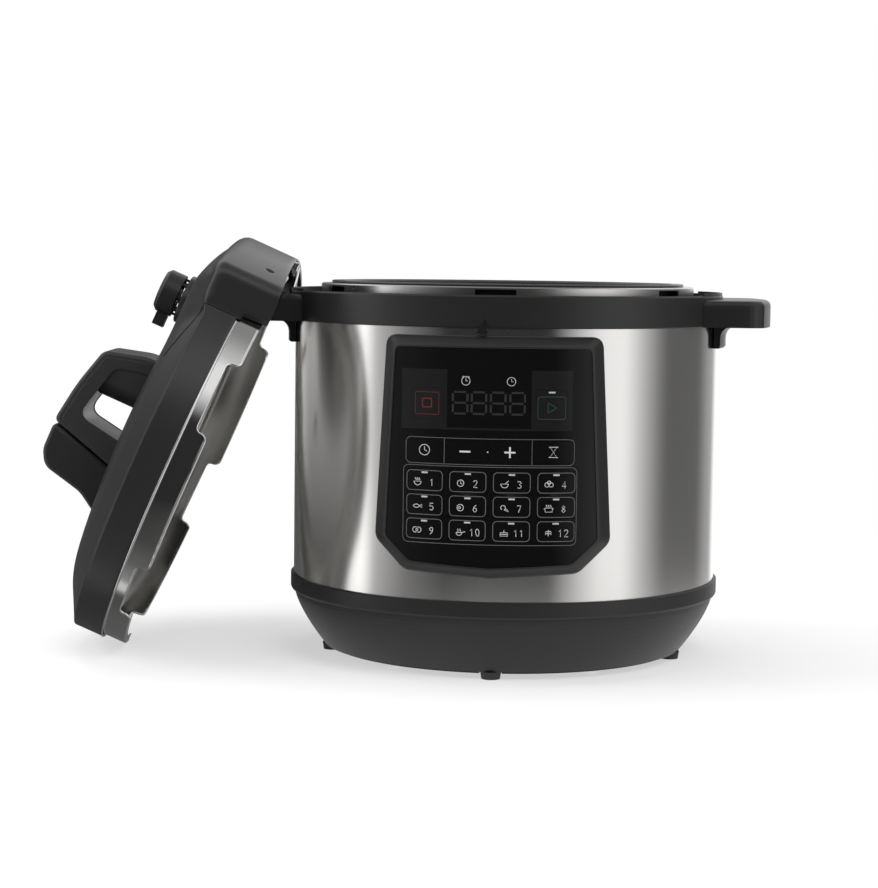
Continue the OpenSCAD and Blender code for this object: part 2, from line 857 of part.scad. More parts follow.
module panel_bezel() {
  outer = panel_outline(bezel_top, bezel_wide, bezel_low + 3, bezel_z1 + 9, bezel_turn_z,
    bezel_low_z - 1.5, bezel_z0 - 9);
  inner = panel_outline(bezel_top - bezel_border + 0.6, bezel_wide - bezel_border + 0.4,
    bezel_low - 0.5, bezel_z1 + 9, bezel_turn_z + 1, film_z0 + 1.6, bezel_z0 - 9);
  film_line = panel_outline(film_top, film_wide, film_low, film_z1, bezel_turn_z + 1.5,
    film_z0 + 2, film_z0);
  window = panel_outline(film_top - ledge, film_wide - ledge, film_low - ledge,
    film_z1 - ledge, bezel_turn_z + 3, film_z0 + 2 + ledge, film_z0 + ledge);
  side_y0 = sqrt(pow(shell_r, 2) - pow(bezel_wide, 2));
  side_y1 = sqrt(pow(bezel_r, 2) - pow(bezel_wide - bezel_border, 2));
  color(near_plastic)
    difference() {
      intersection() {
        hull() {
          front_prism(soften(outer, 4), side_y0 - 12, side_y0);
          front_prism(soften(inner, 3), side_y1 - 1, side_y1);
          front_prism(soften(inner, 3), side_y1 + 20, side_y1 + 21);
        }
        rotate_extrude()
          polygon([
            [shell_r - 30, bezel_z0],
            [shell_r + 0.1, bezel_z0],
            [bezel_r, film_z0 - 0.6],
            [bezel_r, film_z1 + 0.6],
            [shell_r + 0.1, bezel_z1],
            [shell_r - 30, bezel_z1]
          ]);
      }
      translate([0, 0, bezel_z0 - 5])
        cylinder(r = shell_r + 0.1, h = bezel_z1);
      // Pocket of the film
      intersection() {
        front_prism(soften(film_line, 4), 100, 170);
        tube(film_r + 20, film_in - 0.05, bezel_z0, bezel_z1);
      }
      front_prism(soften(window, 4), 100, 170);
    }
  // Bars and posts that carry the control board
  color(near_plastic)
    for (z = [[film_z0 + ledge - 2, board_z0 + 7], [board_z1 - 7, film_z1 - ledge + 1.4]]) {
      on_film(rect(-board_half - 2.6, board_half + 2.6, z[0], z[1]), shell_r + 0.6, film_in - 0.9);
    }
  color(near_plastic)
    for (x = [-post_x, post_x])
      for (z = [board_z0 + 3.5, board_z1 - 3.5])
        translate([x, -board_y, z])
          rotate([90, 0, 0])
            cylinder(r = 2.4, h = 5, $fn = 32);
}

// Body of the film's own curved sheet inside an X-Z outline
module on_film(pts, r_in, r_out) {
  intersection() {
    front_prism(pts, 110, 170);
    tube(r_out, r_in, bezel_z0, bezel_z1);
  }
}

function rect(x0, x1, z0, z1) = [[x0, z0], [x1, z0], [x1, z1], [x0, z1]];

function grow(r, g) = [r[0] - g, r[1] + g, r[2] - g, r[3] + g];

// Places of the keys: left, right, bottom and top edge
stop_box = [-51.5, -31.6, 172.8, 192.3];
start_box = [28.4, 48.3, 172.2, 192.3];
timer_box = [-55.2, -30.6, 145.6, 159.6];
minus_box = [-29.2, -2.6, 145.6, 159.6];
plus_box = [-1.2, 25.6, 145.6, 159.6];
cook_box = [27, 52.6, 145.6, 159.6];

function prog_box(i) =
  let (
    x = prog_x0 + (i % 4) * prog_pitch_x,
    z = prog_z0 + (2 - floor(i / 4)) * prog_pitch_z
  )
  [x - prog_w / 2, x + prog_w / 2, z - prog_h / 2, z + prog_h / 2];

function key_box(i) =
  i == 0 ? stop_box
  : i == 1 ? start_box
  : i == 2 ? timer_box
  : i == 3 ? minus_box
  : i == 4 ? plus_box
  : i == 5 ? cook_box
  : prog_box(i - 6);

key_total = 18;
key_back = film_in - 0.8;

function key_outline(b, g) =
  let (r = grow(b, g))
  soften(rect(r[0], r[1], r[2], r[3]), 2.4 + g, 3);

module panel_film() {
  film_line = panel_outline(film_top - 0.15, film_wide - 0.15, film_low - 0.15, film_z1 - 0.15,
    bezel_turn_z + 1.5, film_z0 + 2.15, film_z0 + 0.15);
  color(gloss_black)
    difference() {
      on_film(soften(film_line, 4), film_in, film_r);
      for (i = [0 : key_total - 1])
        front_prism(key_outline(key_box(i), key_gap), 100, 170);
    }
}

module key(i) {
  color(gloss_black)
    on_film(key_outline(key_box(i), 0), key_back, film_r);
}

display_box = [-28.2, 25.2, 170.2, 202];

module display_module() {
  front_y = sqrt(pow(film_in, 2) - pow(display_box[0], 2)) - touch;
  color([0.03, 0.03, 0.03])
    difference() {
      front_prism(rect(display_box[0], display_box[1], display_box[2], display_box[3]),
        board_y, front_y);
      // Four seven-segment digits, sunk in the face
      for (x = [-20, -10.6, 7, 16.4])
        for (s = [[-3.4, 0, 6.8, 1.2], [-3.4, 6, 6.8, 1.2], [-3.4, 12, 6.8, 1.2],
            [-4.2, 0.8, 1.2, 5], [3, 0.8, 1.2, 5], [-4.2, 6.8, 1.2, 5], [3, 6.8, 1.2, 5]])
          translate([x + s[0], -front_y - 1, 176.6 + s[1]])
            cube([s[2], 1.6, s[3]]);
    }
}

module control_board() {
  color([0.1, 0.32, 0.18])
    front_prism(rect(-board_half, board_half, board_z0, board_z1), board_y - board_t, board_y);
}

module key_switches() {
  color([0.7, 0.7, 0.72])
    for (i = [0 : key_total - 1]) {
      b = key_box(i);
      cx = (b[0] + b[1]) / 2;
      cz = (b[2] + b[3]) / 2;
      far_x = max(abs(cx - 2), abs(cx + 2));
      tip_y = sqrt(pow(key_back, 2) - pow(far_x, 2)) - key_travel - touch;
      translate([cx - 3, -board_y - 3.5, cz - 3])
        cube([6, 3.5, 6]);
      translate([cx, -board_y - 3.4, cz])
        rotate([90, 0, 0])
          cylinder(r = 1.8, h = tip_y - board_y - 3.4, $fn = 32);
    }
}

/* Rear */

rail_w = 24;
rail_h = 12;
rail_y = shell_r + 3.2;

module drip_cup() {
  y0 = rail_y - touch - cup_t;
  z1 = ring_z0 - touch;
  color([0.75, 0.78, 0.8])
    difference() {
      translate([-cup_w / 2, y0, z1 - cup_h])
        cube([cup_w, cup_d, cup_h]);
      translate([-cup_w / 2 + cup_t, y0 + cup_t, z1 - cup_h + cup_t])
        cube([cup_w - 2 * cup_t, cup_d - 2 * cup_t, cup_h]);
      // Slot over the rail's neck
      translate([-rail_w / 2 - touch, y0 - 1, ring_z0 - rail_h - touch])
        cube([rail_w + 2 * touch, cup_t + 2, rail_h + 2]);
    }
}

/* Lid */

// Plan of the lid's squared end, grown inwards by inset
function wing_plan(inset) =
  let (half = wing_half - inset, steps = 14)
  concat(
    [[60, -half]],
    [for (k = [-steps : steps])
      let (v = half * k / steps)
      [wing_arc_u(v) - inset, v]],
    [[60, half]]
  );

module wing_body(inset, w0, w1, w_top, run) {
  hull() {
    translate([0, 0, w0])
      linear_extrude(w1 - w0)
        polygon(wing_plan(inset));
    translate([0, 0, w_top - 0.1])
      linear_extrude(0.1)
        polygon(wing_plan(inset + run));
  }
}

module cover_outer() {
  polygon(concat(
    [
      [0, steel_skirt],
      [lid_r - 0.5, steel_skirt],
      [lid_r, steel_skirt + 0.5],
      [lid_r, skirt_top - 0.8],
      [lid_r - 0.7, skirt_top]
    ],
    [for (k = [0 : 10])
      let (r = deck_r * (1 - k / 10))
      [r, deck_at(r)]]
  ));
}

module cover_inner() {
  polygon(concat(
    [
      [0, steel_skirt - 1],
      [pan_r + cover_gap, steel_skirt - 1],
      [pan_r + cover_gap, skirt_top - cover_t + 0.6]
    ],
    [for (k = [0 : 10])
      let (r = (deck_r - 2) * (1 - k / 10))
      [r, deck_at(r) - cover_t]]
  ));
}

module lid_cover() {
  wing_low = -wing_drop;
  color(near_plastic)
    lid_place()
      difference() {
        union() {
          rotate_extrude()
            cover_outer();
          difference() {
            wing_body(0, wing_low, skirt_top + 1.6, deck_h + 3, 25);
            translate([0, 0, wing_low - 1])
              cylinder(r = lid_r - 1.2, h = steel_skirt - wing_low + 1.2);
          }
          // Boss under the steam release knob
          translate([knob_u, 0, deck_h - 4])
            cylinder(r = knob_r + 2, h = knob_w0 - deck_h + 4);
        }
        rotate_extrude()
          cover_inner();
        // Hollow side boxes
        difference() {
          wing_body(cover_t, wing_low - 1, skirt_top - 1.4, deck_h - 1, 24);
          cylinder(r = lid_r + box_wall, h = 200, center = true);
          translate([-200, -200, -100])
            cube([200 + wing_box_u + cover_t, 400, 200]);
          translate([-200, -200, deck_h - 4])
            cube([400, 400, 50]);
        }
        translate([0, 0, wing_low - 1])
          cylinder(r = pan_r + cover_gap, h = steel_skirt + 2);
        wing_relief();
        wing_arch(wing_mid);
        // Bores of the exhaust pipe and the float valve
        translate([knob_u, 0, 0])
          cylinder(r = pipe_r + 0.1, h = 100, $fn = 48);
        translate([float_u, float_v, 0])
          cylinder(r = float_r + 2, h = 100, $fn = 48);
        // Counterbores of the screws in the end face
        end_screws(-4.4, end_screw_w)
          cylinder(r = 2.9, h = 12, $fn = 32);
      }
  // Screw bosses behind the end face
  color(near_plastic)
    lid_place()
      end_screws(-11, end_screw_w)
        difference() {
          cylinder(r = 4.4, h = 9.6, $fn = 48);
          translate([0, 0, 6.6])
            cylinder(r = 2.9, h = 12, $fn = 32);
          translate([0, 0, 1])
            cylinder(r = 1.35, h = 12, $fn = 24);
        }
}

// Space below the squared end where its side boxes stop short, moved along the lid by shift
module wing_relief(shift = 0) {
  translate([-100, -200, -50])
    cube([100 + wing_box_u + shift, 400, 50 + steel_skirt - 3]);
}

// Shallow arch cut under the squared end, level w at its middle
module wing_arch(w) {
  r = (pow(wing_half, 2) + pow(w + wing_drop, 2)) / (2 * (w + wing_drop));
  translate([0, 0, w - r])
    rotate([0, 90, 0])
      cylinder(r = r, h = 300, $fn = 720);
}

// Puts children at the two screws of the squared end, at depth d along their axes
module end_screws(d, w) {
  for (s = [-1, 1])
    translate([wing_arc_u(end_screw_v), s * end_screw_v, w])
      rotate([0, 90, s * asin(end_screw_v / wing_arc)])
        translate([0, 0, d])
          children();
}

module lid_screws() {
  color([0.25, 0.25, 0.26])
    lid_place()
      end_screws(-4.4, end_screw_w)
        screw(2.6, 1.6, 1.3, 5);
}

module wing_plate() {
  plate_t = 1.8;
  color(soft_plastic)
    lid_place()
      difference() {
        translate([0, 0, wing_mid - 1.4])
          linear_extrude(plate_t)
            polygon(wing_plan(cover_t + touch));
        translate([0, 0, -wing_drop - 2])
          cylinder(r = lid_r + box_wall + touch, h = 12);
        wing_relief(touch + cover_t);
      }
}

// Points of an arc about c, from angle a0 to angle a1
function arc(c, r, a0, a1, n = 5) = [
  for (k = [0 : n])
    let (a = a0 + (a1 - a0) * k / n)
    [c[0] + r * cos(a), c[1] + r * sin(a)]
];

// Cutter of one notch: rounded inside, flared where it meets the lugs
module notch_cutter() {
  half = pan_r * sin(notch_angle / 2) - lug_round / 2;
  r_in = 4;
  translate([pan_r - lug_len - 3, 0, 0])
    rotate([90, 0, 90])
      linear_extrude(lug_len + 6)
        polygon(concat(
          [[-half - lug_round, -1]],
          arc([-half - lug_round, lug_round], lug_round, -90, 0),
          arc([-half + r_in, notch_h - r_in], r_in, 180, 90),
          arc([half - r_in, notch_h - r_in], r_in, 90, 0),
          arc([half + lug_round, lug_round], lug_round, 180, 270),
          [[half + lug_round, -1]]
        ));
}

module lid_pan() {
  corner = 4;
  pitch = 360 / lug_count;
  color(polished)
    lid_place()
      difference() {
        rotate_extrude()
          polygon([
            [pan_r - lug_len, 0],
            [pan_r - 1.4, 0],
            [pan_r - 0.3, 0.3],
            [pan_r, 1.4],
            [pan_r, pan_top - corner],
            [pan_r - corner, pan_top],
            [0, pan_top],
            [0, pan_top - pan_t],
            [pan_r - corner - 0.4, pan_top - pan_t],
            [pan_r - pan_t, pan_top - corner - 0.4],
            [pan_r - pan_t, pan_t + 0.6],
            [pan_r - pan_t - 0.6, pan_t],
            [pan_r - lug_len, pan_t]
          ]);
        for (k = [0 : lug_count - 1])
          rotate([0, 0, k * pitch + 50])
            notch_cutter();
        // Holes for the pipe and the float valve
        translate([knob_u, 0, 0])
          cylinder(r = pipe_r + 0.1, h = 100, $fn = 48);
        translate([float_u, float_v, 0])
          cylinder(r = float_r + 0.08, h = 100, $fn = 48);
      }
}

// Side outline of the arch handle in the lid's X and Z
arch_foot = deck_h + 2;
arch_side = [
  [45.5, arch_foot], [44.5, 68], [37.5, 91], [31, 97.6], [-18, 108.8], [-22, 109.2],
  [-38, arch_foot]
];
cap_side = [
  [-22.8, 109.2], [-44, 108.4], [-52, 104], [-57.5, 94], [-60.5, 73], [-72, arch_foot],
  [-38.8, arch_foot]
];
hole_side = [
  [34.6, arch_foot - 10], [34.4, 63], [31.6, 80], [26.5, 86.4], [-9.5, 95], [-14.5, 88],
  [-18.5, 59.6], [-18.5, arch_foot - 10]
];

module side_prism(pts, half) {
  translate([0, half, 0])
    rotate([90, 0, 0])
      linear_extrude(2 * half)
        polygon(pts);
}

module above_deck() {
  difference() {
    children();
    translate([0, 0, 0.03])
      rotate_extrude()
        cover_outer();
  }
}

module arch_handle() {
  edge = 3;
  color(soft_plastic)
    lid_place()
      above_deck()
        union() {
          difference() {
            union() {
              side_prism(soften(arch_side, 2), arch_half - edge);
              intersection() {
                side_prism(soften(arch_side, 2), arch_half);
                translate([-100, -arch_half, 0])
                  cube([200, 2 * arch_half, 200]);
              }
            }
            side_prism(soften(hole_side, 2), arch_half + 5);
          }
          // Round column behind the upper leg
          intersection() {
            translate([32, 0, 0])
              cylinder(r = arch_half - 0.5, h = 91);
            side_prism(soften(arch_side, 2), arch_half - 0.5);
            translate([-20, -50, 0])
              cube([58, 100, 200]);
          }
        }
}

module arch_cap() {
  color(near_plastic)
    lid_place()
      above_deck()
        intersection() {
          side_prism(soften(cap_side, 2), arch_half);
          union() {
            translate([-72 + arch_half, 0, 0])
              cylinder(r = arch_half, h = 200);
            translate([-72 + arch_half, -arch_half, 0])
              cube([60, 2 * arch_half, 200]);
          }
        }
}

seal_out = 127;
seal_in = 112;

module sealing_ring() {
  color([0.85, 0.85, 0.83])
    lid_place()
      rotate_extrude()
        polygon([
          [seal_in, seal_w + 1],
          [seal_in + 1, seal_w],
          [seal_in + 5, seal_w + 0.6],
          [seal_in + 4.4, seal_w + 4],
          [seal_out - 4.4, seal_w + 4],
          [seal_out - 5, seal_w + 0.6],
          [seal_out - 1, seal_w],
          [seal_out, seal_w + 1],
          [seal_out, pan_top - pan_t - 0.05],
          [seal_in, pan_top - pan_t - 0.05]
        ]);
}

module seal_rack() {
  color(polished)
    lid_place() {
      translate([0, 0, pan_top - pan_t - 6.05])
        rotate_extrude()
          polygon([
            [seal_in - 1.9, 0], [seal_in - 0.6, 0], [seal_in - 0.6, 6], [seal_in - 6, 6],
            [seal_in - 6, 5], [seal_in - 1.9, 5]
          ]);
    }
}

module lid_nut() {
  color(polished)
    lid_place() {
      translate([0, 0, pan_top - pan_t - 5])
        cylinder(r = 9, h = 5, $fn = 6);
      translate([0, 0, pan_top - pan_t - 8])
        cylinder(r = 4, h = 3 + eps, $fn = 48);
    }
}

module exhaust_pipe() {
  color(polished)
    lid_place()
      difference() {
        union() {
          translate([knob_u, 0, pan_top - pan_t - 7])
            cylinder(r = pipe_r, h = knob_w0 - pan_top + pan_t + 7 + 1.5, $fn = 48);
          translate([knob_u, 0, pan_top - pan_t - 3])
            cylinder(r = 8.5, h = 3, $fn = 6);
        }
        translate([knob_u, 0, 0])
          cylinder(r = stem_r + stem_gap, h = 200, $fn = 48);
      }
}

module valve_shield() {
  skin = 1;
  w0 = seal_w + 0.6;
  w1 = pan_top - pan_t - 7.1;
  color(polished)
    lid_place()
      difference() {
        translate([knob_u, 0, w0])
          cylinder(r = 11, h = w1 - w0 + 4, $fn = 64);
        translate([knob_u, 0, w0 + skin])
          cylinder(r = 11 - skin, h = w1 - w0 - skin, $fn = 64);
        translate([knob_u, 0, w1 - 1])
          cylinder(r = pipe_r + 0.02, h = 10, $fn = 48);
        for (k = [0 : 7])
          rotate([0, 0, 0])
            translate([knob_u, 0, w0 + 2.5])
              rotate([90, 0, k * 45])
                cylinder(r = 1.1, h = 14, $fn = 24);
      }
}

module steam_knob() {
  w1 = knob_w0 + knob_lift;
  color(near_plastic)
    lid_place()
      union() {
        difference() {
          translate([knob_u, 0, w1])
            union() {
              cylinder(r = knob_r, h = knob_t - 2.5);
              translate([0, 0, knob_t - 2.5 - eps])
                cylinder(r1 = knob_r, r2 = knob_r - 2.5, h = 2.5);
              // Pointer tab
              translate([-knob_r - 9, -5, 1.5])
                cube([14, 10, 8]);
            }
          translate([knob_u, 0, w1 - 1])
            difference() {
              cylinder(r = knob_r - 2, h = 8);
              cylinder(r = stem_r + 3, h = 8);
            }
        }
        // Skirt ribs that ride over the boss
        for (a = [0 : 45 : 315])
          translate([knob_u, 0, 0])
            rotate([0, 0, a])
              translate([knob_r - 3.6, -1, knob_w0 + 0.3])
                cube([1.8, 2, knob_lift + 2]);
        translate([knob_u, 0, knob_w0 - 16])
          cylinder(r = stem_r, h = knob_lift + 20, $fn = 48);
      }
}

module float_valve() {
  top_w = deck_at(sqrt(pow(float_u, 2) + pow(float_v, 2))) - 1.6;
  color([0.75, 0.15, 0.12])
    lid_place() {
      translate([float_u, float_v, pan_top - pan_t - float_travel - 2])
        cylinder(r = float_r, h = top_w - pan_top + pan_t + float_travel + 2, $fn = 48);
      translate([float_u, float_v, pan_top - pan_t - float_travel - 4])
        cylinder(r = 5.5, h = 2 + eps, $fn = 48);
      // Collar that rests on the pan
      translate([float_u, float_v, pan_top + touch])
        cylinder(r = 4.4, h = 1, $fn = 48);
    }
}

module float_gasket() {
  color([0.7, 0.7, 0.68])
    lid_place()
      difference() {
        translate([float_u, float_v, pan_top - pan_t - float_travel - 2 + 2 * eps])
          cylinder(r = 5.2, h = 1.6, $fn = 48);
        translate([float_u, float_v, 0])
          cylinder(r = float_r + 0.04, h = 60, $fn = 48);
      }
}

base_shell();
bottom_cover();
rubber_feet();
cover_screws();
steel_housing();
top_ring();
left_handle();
right_handle();
handle_screws();
steel_liner();
inner_pot();
heating_plate();
heater_screws();
sensor_sleeve();
temperature_sensor();
pressure_switch();
power_board();
power_inlet();
panel_bezel();
panel_film();
display_module();
control_board();
key_switches();
drip_cup();
lid_cover();
lid_pan();
wing_plate();
arch_handle();
arch_cap();
sealing_ring();
seal_rack();
lid_nut();
exhaust_pipe();
valve_shield();
steam_knob();
float_valve();
float_gasket();
lid_screws();
key(0);  // key_stop
key(1);  // key_start
key(2);  // key_timer
key(3);  // key_minus
key(4);  // key_plus
key(5);  // key_cook_time
key(6);  // key_prog_01
key(7);  // key_prog_02
key(8);  // key_prog_03
key(9);  // key_prog_04
key(10);  // key_prog_05
key(11);  // key_prog_06
key(12);  // key_prog_07
key(13);  // key_prog_08
key(14);  // key_prog_09
key(15);  // key_prog_10
key(16);  // key_prog_11
key(17);  // key_prog_12
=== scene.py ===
"""Looks of a six litre electric pressure cooker whose lid leans on one side handle."""

import logging
import math
from dataclasses import dataclass, field
from enum import Enum

import bmesh
import bpy
from mathutils import Matrix, Vector


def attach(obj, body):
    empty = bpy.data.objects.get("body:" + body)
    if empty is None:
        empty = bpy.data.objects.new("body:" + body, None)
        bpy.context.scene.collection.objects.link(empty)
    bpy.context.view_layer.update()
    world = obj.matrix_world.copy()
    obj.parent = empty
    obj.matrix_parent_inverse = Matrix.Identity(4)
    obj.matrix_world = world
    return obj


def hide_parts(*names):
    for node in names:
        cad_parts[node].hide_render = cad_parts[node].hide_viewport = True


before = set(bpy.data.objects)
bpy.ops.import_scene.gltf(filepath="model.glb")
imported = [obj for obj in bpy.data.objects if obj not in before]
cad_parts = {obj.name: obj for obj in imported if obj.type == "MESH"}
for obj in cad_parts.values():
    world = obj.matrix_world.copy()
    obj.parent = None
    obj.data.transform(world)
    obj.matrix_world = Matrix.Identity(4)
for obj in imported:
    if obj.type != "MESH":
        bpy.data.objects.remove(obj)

LOG = logging.getLogger("pressure_cooker")
MM = 0.001
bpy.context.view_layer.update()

Point2 = tuple[float, float]
Corner = tuple[float, float, float]
Colour = tuple[float, float, float]
Box = tuple[float, float, float, float]
Faces = list[tuple[int, ...]]


# ---------------------------------------------------------------- node helpers


class Bench:
    """Adds and links the nodes of one tree."""

    def __init__(self, tree: bpy.types.NodeTree) -> None:
        """Keeps the tree, emptied of what it came with.

        Args:
            tree: The node tree to fill.
        """
        self.tree = tree
        tree.nodes.clear()

    def add(self, kind: str, settings: dict | None = None, **inputs: object) -> bpy.types.Node:
        """Adds a node.

        Args:
            kind: The node's type name.
            settings: Properties of the node itself.
            inputs: Input values or sockets, by the input's name with _ for a space,
                or by in0, in1 and so on for its place.

        Returns:
            The new node.
        """
        node = self.tree.nodes.new(kind)
        for name, value in (settings or {}).items():
            setattr(node, name, value)
        for name, value in inputs.items():
            if name[:2] == "in" and name[2:].isdigit():
                socket = node.inputs[int(name[2:])]
            else:
                socket = node.inputs[name.replace("_", " ")]
            if isinstance(value, bpy.types.NodeSocket):
                self.tree.links.new(value, socket)
            else:
                socket.default_value = value
        return node

    def math(self, operation: str, a: object, b: object = 0.0, c: object = 0.0) -> object:
        """Adds a Math node and returns its output.

        Args:
            operation: The node's operation.
            a: First value or socket.
            b: Second value or socket.
            c: Third value or socket, for an operation that takes one.

        Returns:
            The output socket.
        """
        settings = {"operation": operation}
        return self.add("ShaderNodeMath", settings, in0=a, in1=b, in2=c).outputs[0]

    def scaled_place(self, scale: Vector = Vector((1, 1, 1)), turn: Vector = Vector()) -> object:
        """Object coordinates, turned and then scaled.

        Args:
            scale: Scale along each axis, per metre.
            turn: Euler angles of the pattern.

        Returns:
            The vector socket.
        """
        place = self.add("ShaderNodeTexCoord").outputs["Object"]
        turned = self.add("ShaderNodeMapping", Vector=place, Rotation=tuple(turn)).outputs[0]
        return self.add("ShaderNodeMapping", Vector=turned, Scale=tuple(scale)).outputs[0]

    def noise(self, place: object, scale: float, detail: float = 3.0, rough: float = 0.5) -> object:
        """A noise value between 0 and 1.

        Args:
            place: Vector socket.
            scale: Scale of the noise.
            detail: Octaves.
            rough: Weight of the finer octaves.

        Returns:
            The value socket.
        """
        node = self.add(
            "ShaderNodeTexNoise", Vector=place, Scale=scale, Detail=detail, Roughness=rough
        )
        return node.outputs[0]

    def span(
        self, value: object, low: float, high: float, start: float = 0.0, stop: float = 1.0
    ) -> object:
        """Maps start..stop to low..high, and holds the result there.

        Args:
            value: Socket to map.
            low: Result at the start.
            high: Result at the stop.
            start: Value that gives low.
            stop: Value that gives high.

        Returns:
            The mapped socket.
        """
        return self.add(
            "ShaderNodeMapRange", in0=value, in1=start, in2=stop, in3=low, in4=high
        ).outputs[0]

    def blend(self, factor: object, a: Colour | object, b: Colour | object) -> object:
        """Mixes two colours.

        Args:
            factor: Weight of b.
            a: First colour or socket.
            b: Second colour or socket.

        Returns:
            The colour socket.
        """
        node = self.add("ShaderNodeMix", {"data_type": "RGBA"}, in0=factor)
        for index, value in ((6, a), (7, b)):
            if isinstance(value, bpy.types.NodeSocket):
                self.tree.links.new(value, node.inputs[index])
            else:
                node.inputs[index].default_value = (*value, 1.0)
        return node.outputs[2]

    def bump(self, height: object, distance: float, strength: float = 1.0) -> object:
        """A bump normal.

        Args:
            height: Height socket.
            distance: Depth in metres.
            strength: Share of the effect.

        Returns:
            The normal socket.
        """
        return self.add(
            "ShaderNodeBump", Height=height, Distance=distance, Strength=strength
        ).outputs[0]

    def mix_shaders(self, factor: object, a: object, b: object) -> object:
        """Mixes two shaders.

        Args:
            factor: Weight of b.
            a: First shader's socket.
            b: Second shader's socket.

        Returns:
            The shader socket.
        """
        return self.add("ShaderNodeMixShader", in0=factor, in1=a, in2=b).outputs[0]


# -------------------------------------------------------------------- finishes


@dataclass(frozen=True)
class Finish:
    """What every finish shares: a name, and a material made once."""

    name: str

    def material(self) -> bpy.types.Material:
        """Makes the finish's material at its first use.

        Returns:
            The material.
        """
        made = bpy.data.materials.get(self.name)
        if made is None:
            made = bpy.data.materials.new(self.name)
            made.use_nodes = True
            bench = Bench(made.node_tree)
            shader = bench.add("ShaderNodeBsdfPrincipled")
            bench.add("ShaderNodeOutputMaterial", Surface=shader.outputs[0])
            self.dress(bench, shader)
        return made

    def dress(self, bench: Bench, shader: bpy.types.Node) -> None:
        """Sets the shader up.

        Args:
            bench: Helper for the material's tree.
            shader: The Principled shader.
        """
        raise NotImplementedError

    def put_on(self, piece: bpy.types.Object) -> None:
        """Gives the finish to every slot of a piece.

        Args:
            piece: Object to dress.
        """
        piece.data.materials.clear()
        piece.data.materials.append(self.material())


def toned(colour: Colour, share: float) -> Colour:
    """A colour made darker or lighter by a share, at most white."""
    return tuple(min(1.0, c * share) for c in colour)


def wire(bench: Bench, shader: bpy.types.Node, **sockets: object) -> None:
    """Sets or links the shader's inputs.

    Args:
        bench: Helper of the tree.
        shader: The Principled shader.
        sockets: Values or sockets by input name, with _ for a space.
    """
    for name, value in sockets.items():
        socket = shader.inputs[name.replace("_", " ")]
        if isinstance(value, bpy.types.NodeSocket):
            bench.tree.links.new(value, socket)
        else:
            socket.default_value = value


@dataclass(frozen=True)
class MouldedPlastic(Finish):
    """Moulded plastic with a fine spark-eroded grain and faint rubbed patches."""

    colour: Colour = (0.03, 0.03, 0.032)
    roughness: float = 0.42
    grain: float = 2600.0
    depth: float = 0.00004
    shine: float = 0.36
    patches: float = 22.0
    clouds: float = 9.0
    tone_swing: float = 0.14
    rubbed: float = 0.05
    dulled: float = 0.06

    def dress(self, bench: Bench, shader: bpy.types.Node) -> None:
        """Grain in the bump, rubbed patches in the roughness.

        Args:
            bench: Helper for the material's tree.
            shader: The Principled shader.
        """
        place = bench.scaled_place()
        grain = bench.noise(place, self.grain, 2.0, 0.6)
        patch = bench.noise(place, self.patches, 4.0, 0.6)
        tone = bench.noise(place, self.clouds, 3.0)
        darker = toned(self.colour, 1 - self.tone_swing)
        lighter = toned(self.colour, 1 + self.tone_swing)
        wire(
            bench,
            shader,
            Base_Color=bench.blend(tone, darker, lighter),
            Roughness=bench.span(patch, self.roughness - self.rubbed, self.roughness + self.dulled),
            Specular_IOR_Level=self.shine,
            Normal=bench.bump(grain, self.depth, 0.4),
        )


@dataclass(frozen=True)
class BrushedSteel(Finish):
    """Stainless steel with fine brush lines round the axis of the shell."""

    colour: Colour = (0.62, 0.612, 0.6)
    roughness: float = 0.2
    fine_lines: tuple[float, float] = (7.0, 1900.0)
    broad_lines: tuple[float, float] = (11.0, 900.0)
    depth: float = 0.000016
    anisotropy: float = 0.75
    line_tone: tuple[float, float] = (0.6, 0.2)
    tone_swing: float = 0.03
    roughness_swing: float = 0.01

    def lines(self, bench: Bench, scales: tuple[float, float]) -> object:
        """Place for noise that is drawn out round the shell, from its scales along and across."""
        return bench.scaled_place(Vector((scales[0], scales[0], scales[1])))

    def dress(self, bench: Bench, shader: bpy.types.Node) -> None:
        """Brush lines in bump, tone and roughness, with the highlight drawn out upright.

        Args:
            bench: Helper for the material's tree.
            shader: The Principled shader.
        """
        fine = bench.noise(self.lines(bench, self.fine_lines), 1.0, 1.0, 0.6)
        broad = bench.noise(self.lines(bench, self.broad_lines), 1.0, 1.0)
        tone = bench.math("MULTIPLY_ADD", fine, *self.line_tone)
        darker = toned(self.colour, 1 - self.tone_swing)
        lighter = toned(self.colour, 1 + self.tone_swing)
        axis = bench.add("ShaderNodeCombineXYZ", Z=1.0).outputs[0]
        smooth, dull = self.roughness - self.roughness_swing, self.roughness + self.roughness_swing
        wire(
            bench,
            shader,
            Base_Color=bench.blend(tone, darker, lighter),
            Metallic=1.0,
            Roughness=bench.span(broad, smooth, dull),
            Anisotropic=self.anisotropy,
            Tangent=axis,
            Normal=bench.bump(fine, self.depth, 0.004),
        )


